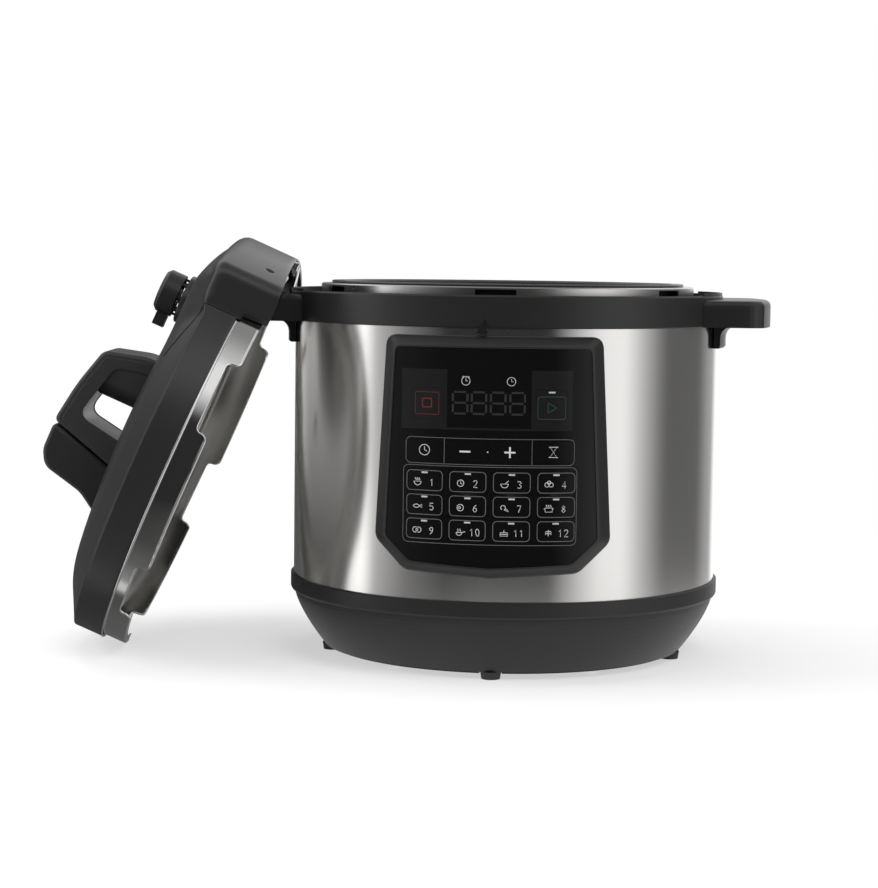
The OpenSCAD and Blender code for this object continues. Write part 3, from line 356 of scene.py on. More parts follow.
@dataclass(frozen=True)
class PolishedSteel(Finish):
    """Pressed and polished stainless steel with faint turned rings about its own axis."""

    colour: Colour = (0.74, 0.735, 0.725)
    roughness: float = 0.16
    turn: tuple[float, float, float] = (0.0, 0.0, 0.0)
    rings: float = 900.0
    along: float = 14.0
    clouds: float = 26.0
    shade: float = 0.92
    rubbed: float = 0.04
    dulled: float = 0.06
    depth: float = 0.00001

    def dress(self, bench: Bench, shader: bpy.types.Node) -> None:
        """Rings in bump, clouds in tone and roughness.

        Args:
            bench: Helper for the material's tree.
            shader: The Principled shader.
        """
        stretch = Vector((self.along, self.along, self.rings))
        rings = bench.noise(bench.scaled_place(stretch, Vector(self.turn)), 1.0, 2.0)
        cloud = bench.noise(bench.scaled_place(), self.clouds, 4.0, 0.6)
        wire(
            bench,
            shader,
            Base_Color=bench.blend(cloud, toned(self.colour, self.shade), self.colour),
            Metallic=1.0,
            Roughness=bench.span(cloud, self.roughness - self.rubbed, self.roughness + self.dulled),
            Normal=bench.bump(rings, self.depth, 0.25),
        )


@dataclass(frozen=True)
class GlossFilm(Finish):
    """Glossy black film, slightly lighter over the display band."""

    colour: Colour = (0.0045, 0.0045, 0.0048)
    band_colour: Colour = (0.0115, 0.0115, 0.0122)
    band: Box = (-0.0585, 0.0515, 0.166, 0.2045)
    window: Box = (-0.0285, 0.0255, 0.1675, 0.2045)
    smears: float = 34.0
    smooth: float = 0.05
    dull: float = 0.09
    shine: float = 0.22

    def within(self, bench: Bench, split: bpy.types.Node, box: Box) -> object:
        """Mask of a box in the X-Z plane.

        Args:
            bench: Helper for the material's tree.
            split: Separated object coordinates.
            box: Left, right, lower and upper edge in metres.

        Returns:
            The mask's socket.
        """
        mask: object = 1.0
        for k, edge in enumerate(box):
            operation = "LESS_THAN" if k % 2 else "GREATER_THAN"
            axis = 0 if k < 2 else 2
            mask = bench.math("MULTIPLY", mask, bench.math(operation, split.outputs[axis], edge))
        return mask

    def dress(self, bench: Bench, shader: bpy.types.Node) -> None:
        """Masks the band and the darker display window by place.

        Args:
            bench: Helper for the material's tree.
            shader: The Principled shader.
        """
        place = bench.add("ShaderNodeTexCoord").outputs["Object"]
        split = bench.add("ShaderNodeSeparateXYZ", in0=place)
        inside = bench.math(
            "SUBTRACT", self.within(bench, split, self.band), self.within(bench, split, self.window)
        )
        smear = bench.noise(bench.scaled_place(), self.smears, 4.0, 0.6)
        wire(
            bench,
            shader,
            Base_Color=bench.blend(inside, self.colour, self.band_colour),
            Roughness=bench.span(smear, self.smooth, self.dull),
            Specular_IOR_Level=self.shine,
        )


@dataclass(frozen=True)
class PrintedInk(Finish):
    """Screen-printed ink with a faint speckle, and on some inks painted light given as emission."""

    colour: Colour = (0.8, 0.8, 0.8)
    painted_glow: float = 0.0
    speckle: float = 2400.0
    shade: float = 0.82
    roughness: float = 0.42

    def dress(self, bench: Bench, shader: bpy.types.Node) -> None:
        """Speckle in tone, and where given, emission that paints light on the ink so that it looks
        lit.

        Args:
            bench: Helper for the material's tree.
            shader: The Principled shader.
        """
        speck = bench.noise(bench.scaled_place(), self.speckle, 2.0)
        tone = bench.blend(speck, toned(self.colour, self.shade), self.colour)
        wire(bench, shader, Base_Color=tone, Roughness=self.roughness)
        # Painted light: the ink sends out its own tone as emission, so that it looks lit.
        if self.painted_glow:
            wire(bench, shader, Emission_Color=tone, Emission_Strength=self.painted_glow)


@dataclass(frozen=True)
class CastMetal(Finish):
    """Cast or plated metal with a grainy skin."""

    colour: Colour = (0.6, 0.6, 0.59)
    roughness: float = 0.38
    grain: float = 1300.0
    clouds: float = 60.0
    shade: float = 0.86
    rubbed: float = 0.06
    dulled: float = 0.08
    depth: float = 0.00005

    def dress(self, bench: Bench, shader: bpy.types.Node) -> None:
        """Grain in the bump, clouds in tone and roughness.

        Args:
            bench: Helper for the material's tree.
            shader: The Principled shader.
        """
        place = bench.scaled_place()
        grain = bench.noise(place, self.grain, 3.0)
        cloud = bench.noise(place, self.clouds, 3.0)
        wire(
            bench,
            shader,
            Base_Color=bench.blend(cloud, toned(self.colour, self.shade), self.colour),
            Metallic=1.0,
            Roughness=bench.span(cloud, self.roughness - self.rubbed, self.roughness + self.dulled),
            Normal=bench.bump(grain, self.depth, 0.3),
        )


@dataclass(frozen=True)
class SoftRubber(Finish):
    """Rubber or silicone with a dusty matt skin."""

    colour: Colour = (0.02, 0.02, 0.02)
    roughness: float = 0.7
    clear: float = 0.0
    dust: float = 140.0
    dust_share: float = 1.25
    dust_tone: float = 0.01
    rubbed: float = 0.08
    dulled: float = 0.1
    depth: float = 0.00005
    scatter: tuple[float, float, float] = (0.003, 0.003, 0.0028)

    def dress(self, bench: Bench, shader: bpy.types.Node) -> None:
        """Dusty tone and roughness; silicone also lets some light in.

        Args:
            bench: Helper for the material's tree.
            shader: The Principled shader.
        """
        dust = bench.noise(bench.scaled_place(), self.dust, 4.0, 0.6)
        lighter = tuple(min(1.0, c * self.dust_share + self.dust_tone) for c in self.colour)
        wire(
            bench,
            shader,
            Base_Color=bench.blend(dust, self.colour, lighter),
            Roughness=bench.span(dust, self.roughness - self.rubbed, self.roughness + self.dulled),
            Normal=bench.bump(dust, self.depth, 0.3),
            Subsurface_Weight=self.clear,
            Subsurface_Radius=self.scatter,
        )


@dataclass(frozen=True)
class CircuitBoard(Finish):
    """Green board with copper traces under the resist."""

    colour: Colour = (0.01, 0.09, 0.035)
    trace: Colour = (0.03, 0.2, 0.08)
    roughness: float = 0.35
    traces: float = 120.0
    trace_width: float = 0.06
    depth: float = 0.00005

    def dress(self, bench: Bench, shader: bpy.types.Node) -> None:
        """Traces from a brick pattern that is turned to run across the board.

        Args:
            bench: Helper for the material's tree.
            shader: The Principled shader.
        """
        place = bench.add("ShaderNodeTexCoord").outputs["Object"]
        turned = bench.add(
            "ShaderNodeMapping", Vector=place, Rotation=(math.radians(90), 0.0, 0.0)
        ).outputs[0]
        brick = bench.add(
            "ShaderNodeTexBrick",
            Vector=turned,
            Scale=self.traces,
            Mortar_Size=self.trace_width,
            Color1=(0, 0, 0, 1),
            Color2=(0.2, 0.2, 0.2, 1),
            Mortar=(1, 1, 1, 1),
        ).outputs[0]
        wire(
            bench,
            shader,
            Base_Color=bench.blend(brick, self.colour, self.trace),
            Roughness=self.roughness,
            Normal=bench.bump(brick, self.depth, 0.3),
        )


class Look(Enum):
    """The finishes of the cooker, by the part they belong to."""

    BODY = MouldedPlastic("body_plastic", (0.014, 0.014, 0.0145), 0.38)
    BASE = MouldedPlastic("base_plastic", (0.012, 0.012, 0.012), 0.44)
    LID = MouldedPlastic("lid_plastic", (0.02, 0.0195, 0.02), 0.3, shine=0.5)
    WING = MouldedPlastic("wing_plastic", (0.04, 0.039, 0.041), 0.42)
    ARCH = MouldedPlastic("arch_plastic", (0.03, 0.028, 0.029), 0.34, 2000.0)
    # Near-black: on the lid's seams it is painted shadow in the crease; on the line-up arrow it is
    # the mark's own black.
    SEAM = MouldedPlastic("seam_shadow_and_black_mark_plastic", (0.004, 0.004, 0.004), 0.6)
    CAP = MouldedPlastic("arch_cap_plastic", (0.02, 0.019, 0.02), 0.4, 2000.0)
    KNOB = MouldedPlastic("knob_plastic", (0.018, 0.018, 0.019), 0.38)
    CLEAR = MouldedPlastic("frosted_plastic", (0.5, 0.52, 0.54), 0.35)
    DISPLAY = MouldedPlastic("display_plastic", (0.01, 0.01, 0.011), 0.25)
    SHELL = BrushedSteel("brushed_shell_steel")
    PAN = PolishedSteel("polished_pan_steel", (0.72, 0.715, 0.705), 0.09, (0.3, -1.15, 0.0))
    BRIGHT = PolishedSteel("bright_steel_edge", (0.86, 0.86, 0.85), 0.12)
    LINER = PolishedSteel("pressed_liner_steel", (0.6, 0.59, 0.58), 0.28)
    POT = MouldedPlastic("dark_pot_coating", (0.045, 0.045, 0.048), 0.34, 1800.0)
    ALUMINIUM = CastMetal("grainy_cast_aluminium")
    ZINC = CastMetal("zinc_plate", (0.66, 0.66, 0.67), 0.28, 2200.0)
    FILM = GlossFilm("black_gloss_film")
    # The third value is painted light, an emission that makes the white ink look lit.
    WHITE_INK = PrintedInk("white_ink", (0.6, 0.6, 0.61), 0.06)
    GREY_INK = PrintedInk("grey_ink", (0.1, 0.1, 0.103))
    RED_INK = PrintedInk("red_ink", (0.1, 0.009, 0.008))
    GREEN_INK = PrintedInk("green_ink", (0.009, 0.05, 0.034))
    # The third value is painted light, an emission that makes the lamp windows look lit.
    LAMP_INK = PrintedInk("lamp_window", (0.42, 0.42, 0.43), 0.12)
    SEGMENT = PrintedInk("unlit_segment", (0.0135, 0.0105, 0.0095))
    RUBBER = SoftRubber("foot_rubber")
    SILICONE = SoftRubber("seal_silicone", (0.62, 0.61, 0.58), 0.5, 0.3)
    BOARD = CircuitBoard("circuit_board")
    RED_PIN = PrintedInk("red_pin_paint", (0.45, 0.03, 0.025))


LOOK_NODES: dict[Look, tuple[str, ...]] = {
    Look.BASE: ("base_shell", "bottom_cover", "power_inlet"),
    Look.RUBBER: ("rubber_feet",),
    Look.ZINC: (
        "cover_screws", "handle_screws", "heater_screws", "sensor_sleeve",
        "lid_nut", "exhaust_pipe", "lid_screws",
    ),
    Look.SHELL: ("steel_housing",),
    Look.BODY: ("top_ring", "left_handle", "right_handle", "panel_bezel"),
    Look.LINER: ("steel_liner", "seal_rack", "valve_shield"),
    Look.POT: ("inner_pot",),
    Look.ALUMINIUM: ("heating_plate", "temperature_sensor"),
    Look.CLEAR: ("pressure_switch", "key_switches", "drip_cup"),
    Look.BOARD: ("power_board", "control_board"),
    Look.FILM: ("panel_film",),
    Look.DISPLAY: ("display_module",),
    Look.LID: ("lid_cover",),
    Look.PAN: ("lid_pan",),
    Look.WING: ("wing_plate",),
    Look.ARCH: ("arch_handle",),
    Look.CAP: ("arch_cap",),
    Look.SILICONE: ("sealing_ring", "float_gasket"),
    Look.KNOB: ("steam_knob",),
    Look.RED_PIN: ("float_valve",),
}
NODE_LOOKS = {node: look for look, nodes in LOOK_NODES.items() for node in nodes}


def dress_frame() -> None:
    """Gives every carried-over node its finish; keys take the film's."""
    for name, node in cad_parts.items():
        look = NODE_LOOKS.get(name, Look.FILM)
        look.value.put_on(node)
        LOG.info("node %s: %s", name, look.value.name)


# --------------------------------------------------------------- mesh helpers


def linked(name: str, data: bpy.types.ID | None) -> bpy.types.Object:
    """Makes an object of some data and links it to the scene.

    Args:
        name: Name of the object.
        data: Its mesh, curve, lamp or camera.

    Returns:
        The object.
    """
    made = bpy.data.objects.new(name, data)
    bpy.context.scene.collection.objects.link(made)
    return made


def evaluated_mesh(carrier: bpy.types.Object) -> bpy.types.Mesh:
    """Plain mesh of an object as its modifiers or curve settings leave it.

    Args:
        carrier: The object.

    Returns:
        The mesh.
    """
    bpy.context.view_layer.update()
    graph = bpy.context.evaluated_depsgraph_get()
    return bpy.data.meshes.new_from_object(carrier.evaluated_get(graph))


def new_piece(name: str, mesh: bpy.types.Mesh, look: Look, body: str) -> bpy.types.Object:
    """Makes an object of a mesh, dresses it and lets it ride on a body.

    Args:
        name: Name of the piece.
        mesh: Its mesh, in place.
        look: Its finish.
        body: The body it moves with.

    Returns:
        The new object.
    """
    piece = linked(name, mesh)
    look.value.put_on(piece)
    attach(piece, body)
    LOG.info("piece %s: %d faces on %s", name, len(mesh.polygons), body)
    return piece


# ------------------------------------------------------------- panel printing


@dataclass
class PrintTree:
    """Geometry Nodes tree that lays flat strokes on the curved film as raised ink."""

    name: str = "print_on_film"

    def build(self) -> bpy.types.NodeTree:
        """Builds the tree at its first use.

        Its inputs are the strokes, the line's width and thickness, the film's radius
        and the ink.

        Returns:
            The tree.
        """
        tree = bpy.data.node_groups.get(self.name)
        if tree:
            return tree
        tree = bpy.data.node_groups.new(self.name, "GeometryNodeTree")
        face = tree.interface
        inputs = {
            "Strokes": "NodeSocketGeometry",
            "Line Width": "NodeSocketFloat",
            "Ink Thickness": "NodeSocketFloat",
            "Film Radius": "NodeSocketFloat",
            "Ink": "NodeSocketMaterial",
        }
        for shown, kind in inputs.items():
            face.new_socket(shown, in_out="INPUT", socket_type=kind)
        face.new_socket("Print", in_out="OUTPUT", socket_type="NodeSocketGeometry")
        bench = Bench(tree)
        given = bench.add("NodeGroupInput")
        curve = bench.add("GeometryNodeMeshToCurve", in0=given.outputs[0]).outputs[0]
        profile = bench.add(
            "GeometryNodeCurvePrimitiveQuadrilateral",
            in0=given.outputs[2],
            in1=given.outputs[1],
        ).outputs[0]
        place = bench.add("GeometryNodeInputPosition").outputs[0]
        split = bench.add("ShaderNodeSeparateXYZ", in0=place)
        squared = bench.math(
            "SUBTRACT",
            bench.math("MULTIPLY", given.outputs[3], given.outputs[3]),
            bench.math("MULTIPLY", split.outputs[0], split.outputs[0]),
        )
        depth = bench.math("MULTIPLY", bench.math("SQRT", squared), -1.0)
        wrapped = bench.add(
            "ShaderNodeCombineXYZ", in0=split.outputs[0], in1=depth, in2=split.outputs[2]
        ).outputs[0]
        across = bench.add(
            "ShaderNodeCombineXYZ", in0=split.outputs[0], in1=depth, in2=0.0
        ).outputs[0]
        laid = bench.add("GeometryNodeSetPosition", in0=curve, Position=wrapped).outputs[0]
        tilted = bench.add(
            "GeometryNodeSetCurveNormal", {"mode": "FREE"}, in0=laid, Normal=across
        ).outputs[0]
        swept = bench.add("GeometryNodeCurveToMesh", in0=tilted, in1=profile, Fill_Caps=True)
        real = bench.add("GeometryNodeRealizeInstances", in0=swept.outputs[0]).outputs[0]
        inked = bench.add(
            "GeometryNodeSetMaterial", in0=real, Material=given.outputs[4]
        ).outputs[0]
        bench.add("NodeGroupOutput", in0=inked)
        return tree


def geometry_input(tree: bpy.types.NodeTree, modifier: bpy.types.Modifier, values: dict) -> None:
    """Sets a modifier's inputs by their sockets' identifiers.

    Args:
        tree: The modifier's tree.
        modifier: The Geometry Nodes modifier.
        values: Value of each input, by its shown name.
    """
    sockets = {s.name: s.identifier for s in tree.interface.items_tree if s.in_out == "INPUT"}
    for name, value in values.items():
        modifier[sockets[name]] = value


def run_tree(
    name: str, source: bpy.types.Mesh, tree: bpy.types.NodeTree, values: dict
) -> bpy.types.Mesh:
    """Runs a tree on a mesh and returns the plain result.

    Args:
        name: Name of the new mesh.
        source: Mesh that the tree starts from.
        tree: Geometry Nodes tree.
        values: Its inputs by their shown names.

    Returns:
        The evaluated mesh.
    """
    carrier = linked(name + "_source", source)
    modifier = carrier.modifiers.new("nodes", "NODES")
    modifier.node_group = tree
    geometry_input(tree, modifier, values)
    mesh = evaluated_mesh(carrier)
    mesh.name = name
    bpy.data.objects.remove(carrier)
    return mesh


Stroke = tuple[list[Point2], bool]


def straight(*points: Point2) -> Stroke:
    """An open stroke through some points."""
    return list(points), False


def loop(*points: Point2) -> Stroke:
    """A closed stroke through some points."""
    return list(points), True


def stroke_mesh(name: str, strokes: list[Stroke]) -> bpy.types.Mesh:
    """Edges of flat strokes, in the X-Z plane.

    Args:
        name: Name of the mesh.
        strokes: Points in millimetres, and whether the stroke is closed.

    Returns:
        A mesh of edges only.
    """
    points: list[tuple[float, float, float]] = []
    edges: list[tuple[int, int]] = []
    for line, closed in strokes:
        first = len(points)
        points += [(x * MM, 0.0, z * MM) for x, z in line]
        edges += [(first + k, first + k + 1) for k in range(len(line) - 1)]
        if closed:
            edges.append((first + len(line) - 1, first))
    mesh = bpy.data.meshes.new(name)
    mesh.from_pydata(points, edges, [])
    return mesh


def stepped(p: Point2, q: Point2, count: int) -> list[Point2]:
    """Points in equal steps from p up to the one before q.

    Args:
        p: First point.
        q: Point after the last one.
        count: Number of steps.

    Returns:
        The points.
    """
    return [
        (p[0] + (q[0] - p[0]) * s / count, p[1] + (q[1] - p[1]) * s / count)
        for s in range(count)
    ]


def shrunk(box: Box, left: float, right: float, below: float, above: float) -> Box:
    """A box made smaller by a margin at each edge."""
    return box[0] + left, box[1] - right, box[2] + below, box[3] - above


def rounded_box(box: Box, r: float, steps: int = 4, longest: float = 3.0) -> list[Point2]:
    """Outline of a box with rounded corners, its long sides cut in short steps.

    Args:
        box: Left, right, lower and upper edge.
        r: Corner radius.
        steps: Steps of each corner.
        longest: Longest step of a side, so that it can follow a curved surface.

    Returns:
        The outline's points.
    """
    x0, x1, z0, z1 = box
    outline: list[Point2] = []
    corners = (
        (x1 - r, z1 - r, 0),
        (x0 + r, z1 - r, 90),
        (x0 + r, z0 + r, 180),
        (x1 - r, z0 + r, 270),
    )
    for cx, cz, start in corners:
        outline += arc_line(cx, cz, r, start, start + 90, steps)
    cut: list[Point2] = []
    for k, p in enumerate(outline):
        q = outline[(k + 1) % len(outline)]
        cut += stepped(p, q, max(1, int(math.dist(p, q) / longest)))
    return cut


def arc_line(
    cx: float, cz: float, r: float, a0: float, a1: float, steps: int = 10
) -> list[Point2]:
    """Points of an arc.

    Args:
        cx: Centre across.
        cz: Centre upwards.
        r: Radius.
        a0: First angle in degrees.
        a1: Last angle in degrees.
        steps: Number of steps.

    Returns:
        The arc's points.
    """
    angles = [math.radians(a0 + (a1 - a0) * k / steps) for k in range(steps + 1)]
    return [(cx + r * math.cos(a), cz + r * math.sin(a)) for a in angles]


def circle(cx: float, cz: float, r: float, steps: int = 18) -> Stroke:
    """A closed circle as a stroke."""
    return arc_line(cx, cz, r, 0, 360 - 360 / steps, steps - 1), True


NUMERALS: dict[str, list[Point2]] = {
    "0": [
        (0.1, 0.3), (0.25, 0.05), (0.5, 0), (0.55, 0.3), (0.55, 0.7),
        (0.4, 1), (0.15, 1), (0.05, 0.7), (0.1, 0.3),
    ],
    "1": [(0.1, 0.75), (0.32, 1), (0.32, 0)],
    "2": [(0.05, 0.8), (0.2, 1), (0.45, 1), (0.58, 0.8), (0.5, 0.55), (0.05, 0), (0.6, 0)],
    "3": [(0.05, 0.95), (0.4, 1), (0.57, 0.78), (0.3, 0.54), (0.6, 0.3), (0.4, 0), (0.03, 0.06)],
    "4": [(0.45, 0), (0.45, 1), (0.02, 0.3), (0.62, 0.3)],
    "5": [
        (0.55, 1), (0.1, 1), (0.06, 0.55), (0.4, 0.6), (0.58, 0.32), (0.42, 0.02), (0.03, 0.05),
    ],
    "6": [
        (0.5, 1), (0.18, 0.68), (0.04, 0.3), (0.2, 0),
        (0.48, 0.02), (0.58, 0.3), (0.42, 0.54), (0.1, 0.45),
    ],
    "7": [(0.03, 1), (0.58, 1), (0.22, 0)],
    "8": [
        (0.3, 0.54), (0.08, 0.76), (0.3, 1), (0.52, 0.76), (0.3, 0.54),
        (0.03, 0.26), (0.3, 0), (0.57, 0.26), (0.3, 0.54),
    ],
    "9": [
        (0.52, 0.55), (0.2, 0.48), (0.04, 0.74), (0.2, 1),
        (0.46, 0.98), (0.56, 0.7), (0.44, 0.3), (0.12, 0),
    ],
}


def numeral(text: str, cx: float, z: float, height: float) -> list[Stroke]:
    """Strokes of a plain number, centred across.

    Args:
        text: Digits.
        cx: Centre across.
        z: Foot of the digits.
        height: Height of a digit.

    Returns:
        The strokes.
    """
    step, width = 0.82 * height, 0.6 * height
    x0 = cx - (step * (len(text) - 1) + width) / 2
    return [
        ([(x0 + k * step + x * height, z + y * height) for x, y in NUMERALS[digit]], False)
        for k, digit in enumerate(text)
    ]


def waves(cx: float, z: float, count: int, height: float, pitch: float) -> list[Stroke]:
    """Rising steam: upright wavy strokes side by side.

    Args:
        cx: Centre across.
        z: Foot of the waves.
        count: Number of waves.
        height: Their height.
        pitch: Distance from one to the next.

    Returns:
        The strokes.
    """
    strokes: list[Stroke] = []
    for k in range(count):
        x = cx + (k - (count - 1) / 2) * pitch
        line = [(x + 0.35 * math.sin(math.pi * 2 * s / 6), z + height * s / 6) for s in range(7)]
        strokes.append((line, False))
    return strokes


def key_icon(kind: int, x: float, z: float) -> list[Stroke]:
    """One of twelve plain kitchen icons, about 6 mm wide and 4 mm tall.

    Args:
        kind: Number of the icon, from 0.
        x: Centre across.
        z: Foot of the icon.

    Returns:
        The strokes.
    """
    bowl: Stroke = (arc_line(x, z + 2.2, 2.4, 180, 360), True)
    steaming_bowl = [bowl, *waves(x, z + 2.9, 3, 1.7, 1.2)]
    clock = [circle(x, z + 2.1, 2.1), straight((x, z + 3.4), (x, z + 2.1), (x + 1.1, z + 1.5))]
    bowl_and_spoon = [bowl, straight((x + 0.4, z + 2.3), (x + 2.6, z + 4.4))]
    grains: list[Stroke] = [
        (arc_line(x - 1.3, z + 1.9, 1.4, 0, 330, 12), True),
        (arc_line(x + 1.3, z + 1.9, 1.4, 0, 330, 12), True),
        (arc_line(x, z + 3.3, 1.1, 0, 330, 10), True),
    ]
    tail = ((x + 1.5, z + 1.9), (x + 3.0, z + 3.0), (x + 3.0, z + 0.8), (x + 1.5, z + 1.9))
    fish: list[Stroke] = [
        (arc_line(x - 0.6, z + 0.4, 2.6, 35, 145), False),
        (arc_line(x - 0.6, z + 3.4, 2.6, 215, 325), False),
        straight(*tail),
    ]
    chop: list[Stroke] = [
        (arc_line(x, z + 2.0, 2.1, 20, 340, 14), True),
        circle(x - 0.5, z + 2.0, 0.7, 10),
    ]
    leg: list[Stroke] = [
        (arc_line(x - 0.7, z + 2.6, 1.5, -60, 240, 12), False),
        straight((x - 0.1, z + 1.3), (x + 2.2, z + 0.2), (x + 2.7, z + 0.8)),
        straight((x + 0.6, z + 2.0), (x + 2.3, z + 1.1)),
    ]
    steamer: list[Stroke] = [
        loop((x - 2.4, z + 2.6), (x - 2.2, z), (x + 2.2, z), (x + 2.4, z + 2.6)),
        straight((x - 3.1, z + 1.9), (x - 2.4, z + 1.9)),
        straight((x + 2.4, z + 1.9), (x + 3.1, z + 1.9)),
        *waves(x, z + 3.1, 3, 1.5, 1.3),
    ]
    beans: list[Stroke] = [
        (arc_line(x - 1.2, z + 2.1, 1.7, 60, 300), False),
        (arc_line(x + 1.0, z + 2.1, 1.7, -120, 120), False),
        (arc_line(x - 0.1, z + 2.1, 0.7, 0, 330, 8), True),
    ]
    frying_pan: list[Stroke] = [
        (arc_line(x - 0.6, z + 1.6, 1.9, 180, 360), False),
        straight((x - 2.5, z + 1.6), (x + 1.3, z + 1.6), (x + 3.4, z + 2.3)),
        *waves(x - 0.6, z + 2.3, 2, 1.6, 1.4),
    ]
    cake: list[Stroke] = [
        loop((x - 2.3, z), (x + 2.3, z), (x + 2.3, z + 2.2), (x - 2.3, z + 2.2)),
        straight((x - 2.3, z + 1.1), (x + 2.3, z + 1.1)),
        straight((x, z + 2.2), (x, z + 3.8)),
    ]
    ear: list[Stroke] = [straight((x, z), (x, z + 4.0))]
    for s in (-1, 1):
        for h in (1.0, 2.3):
            leaf = arc_line(x + s * 0.9, z + h, 0.9, 90 - s * 90, 90 + s * 90, 5)
            ear.append((leaf, False))
    icons = (
        steaming_bowl, clock, bowl_and_spoon, grains, fish, chop,
        leg, steamer, beans, frying_pan, cake, ear,
    )
    return icons[kind]


@dataclass
class ControlPanel:
    """Printed panel: outlines, icons and numbers on the film and on its keys."""

    film_radius: float = 154.4
    lift: float = 0.01
    ink: float = 0.09
    line: float = 0.5
    icon_line: float = 0.38
    clock_line: float = 0.34
    outline_line: float = 0.4
    mark_line: float = 0.8
    sign_line: float = 1.1
    segment_line: float = 1.25
    programme_width: float = 25.2
    programme_height: float = 14.2
    programme_margin: Point2 = (0.9, 0.7)
    programme_corner: float = 2.6
    programme_first: Point2 = (-42.6, 101.6)
    programme_pitch: Point2 = (28.2, 15.6)
    programme_columns: int = 4
    programme_rows: int = 3
    icon_offset: Point2 = (-4.6, -3.0)
    number_offset: Point2 = (4.8, -3.4)
    number_height: float = 4.4
    grid: Box = (-56.7, 54.9, 92.6, 142.6)
    grid_corner: float = 3.4
    row: Box = (-55.2, 53.0, 143.9, 160.6)
    row_corner: float = 3.2
    row_dividers: Point2 = (-29.9, 26.3)
    row_dot: Point2 = (-2.3, -1.5)
    timer_foot: Point2 = (-42.9, 150.2)
    cook_foot: Point2 = (39.8, 150.2)
    glass_height: float = 5.6
    glass_depth: float = 1.0
    sign_height: float = 152.2
    minus: Point2 = (-20.0, -13.0)
    plus: Point2 = (8.8, 15.8)
    plus_upright: Point2 = (148.7, 155.7)
    stop: Box = (-51.5, -31.6, 172.8, 192.3)
    start: Box = (28.4, 48.3, 172.2, 192.3)
    digits: tuple[Point2, ...] = ((-24.7, -15.3), (-12.6, -3.3), (-0.3, 9.0), (12.0, 21.2))
    digit_rows: Point2 = (176.5, 190.3)
    digit_gap: float = 0.9
    clocks: Point2 = (-16.5, 12.6)
    clock_height: float = 197.4
    clock_radius: float = 2.7
    tree: PrintTree = field(default_factory=PrintTree)

    def print(
        self, name: str, strokes: list[Stroke], look: Look, body: str, line: float | None = None
    ) -> None:
        """Prints strokes as one raised piece.

        Args:
            name: Name of the piece.
            strokes: What is printed, in millimetres.
            look: The ink.
            body: The body that carries it.
            line: Line width in millimetres, if not the usual one.
        """
        tree = self.tree.build()
        values = {
            "Line Width": (line or self.line) * MM,
            "Ink Thickness": self.ink * MM,
            "Film Radius": (self.film_radius + self.lift) * MM,
            "Ink": look.value.material(),
        }
        mesh = run_tree(name, stroke_mesh(name, strokes), tree, values)
        new_piece(name, mesh, look, body)

    def programme_centre(self, index: int) -> Point2:
        """Centre of a programme key.

        Args:
            index: Number of the key, from 0 at the upper left.

        Returns:
            Its centre across and upwards.
        """
        row, column = divmod(index, self.programme_columns)
        x = self.programme_first[0] + column * self.programme_pitch[0]
        z = self.programme_first[1] + (self.programme_rows - 1 - row) * self.programme_pitch[1]
        return x, z

    def build_programme_keys(self) -> None:
        """Outline, lamp window, icon and number of each programme key."""
        half_w = self.programme_width / 2 - self.programme_margin[0]
        half_h = self.programme_height / 2 - self.programme_margin[1]
        for index in range(self.programme_columns * self.programme_rows):
            key = f"key_prog_{index + 1:02d}"
            x, z = self.programme_centre(index)
            edge = rounded_box(
                (x - half_w, x + half_w, z - half_h, z + half_h), self.programme_corner
            )
            self.print(f"{key}_outline", [(edge, True)], Look.GREY_INK, key)
            lamp = straight((x - 2.0, z + half_h - 1.3), (x + 2.0, z + half_h - 1.3))
            self.print(f"{key}_lamp", [lamp], Look.LAMP_INK, key, self.sign_line)
            marks = key_icon(index, x + self.icon_offset[0], z + self.icon_offset[1])
            marks += numeral(
                str(index + 1),
                x + self.number_offset[0],
                z + self.number_offset[1],
                self.number_height,
            )
            self.print(f"{key}_marks", marks, Look.WHITE_INK, key, self.icon_line)

    def build_setting_keys(self) -> None:
        """Marks of the timer, minus, plus and cooking time keys."""
        x, z = self.timer_foot
        clock = [
            circle(x, z + 2.3, 3.4, 22),
            straight((x, z + 4.4), (x, z + 2.3), (x + 1.7, z + 1.4)),
        ]
        self.print("timer_marks", clock, Look.WHITE_INK, "key_timer", self.icon_line)
        x, z = self.cook_foot
        high, low = z + self.glass_height, z - self.glass_depth
        glass = [
            loop((x - 2.2, high), (x + 2.2, high), (x - 2.2, low), (x + 2.2, low)),
            straight((x - 2.9, high), (x + 2.9, high)),
            straight((x - 2.9, low), (x + 2.9, low)),
        ]
        self.print("cook_time_marks", glass, Look.WHITE_INK, "key_cook_time", self.icon_line)
        z = self.sign_height
        minus = [straight((self.minus[0], z), (self.minus[1], z))]
        self.print("minus_mark", minus, Look.WHITE_INK, "key_minus", self.sign_line)
        x = (self.plus[0] + self.plus[1]) / 2
        plus = [
            straight((self.plus[0], z), (self.plus[1], z)),
            straight((x, self.plus_upright[0]), (x, self.plus_upright[1])),
        ]
        self.print("plus_mark", plus, Look.WHITE_INK, "key_plus", self.sign_line)

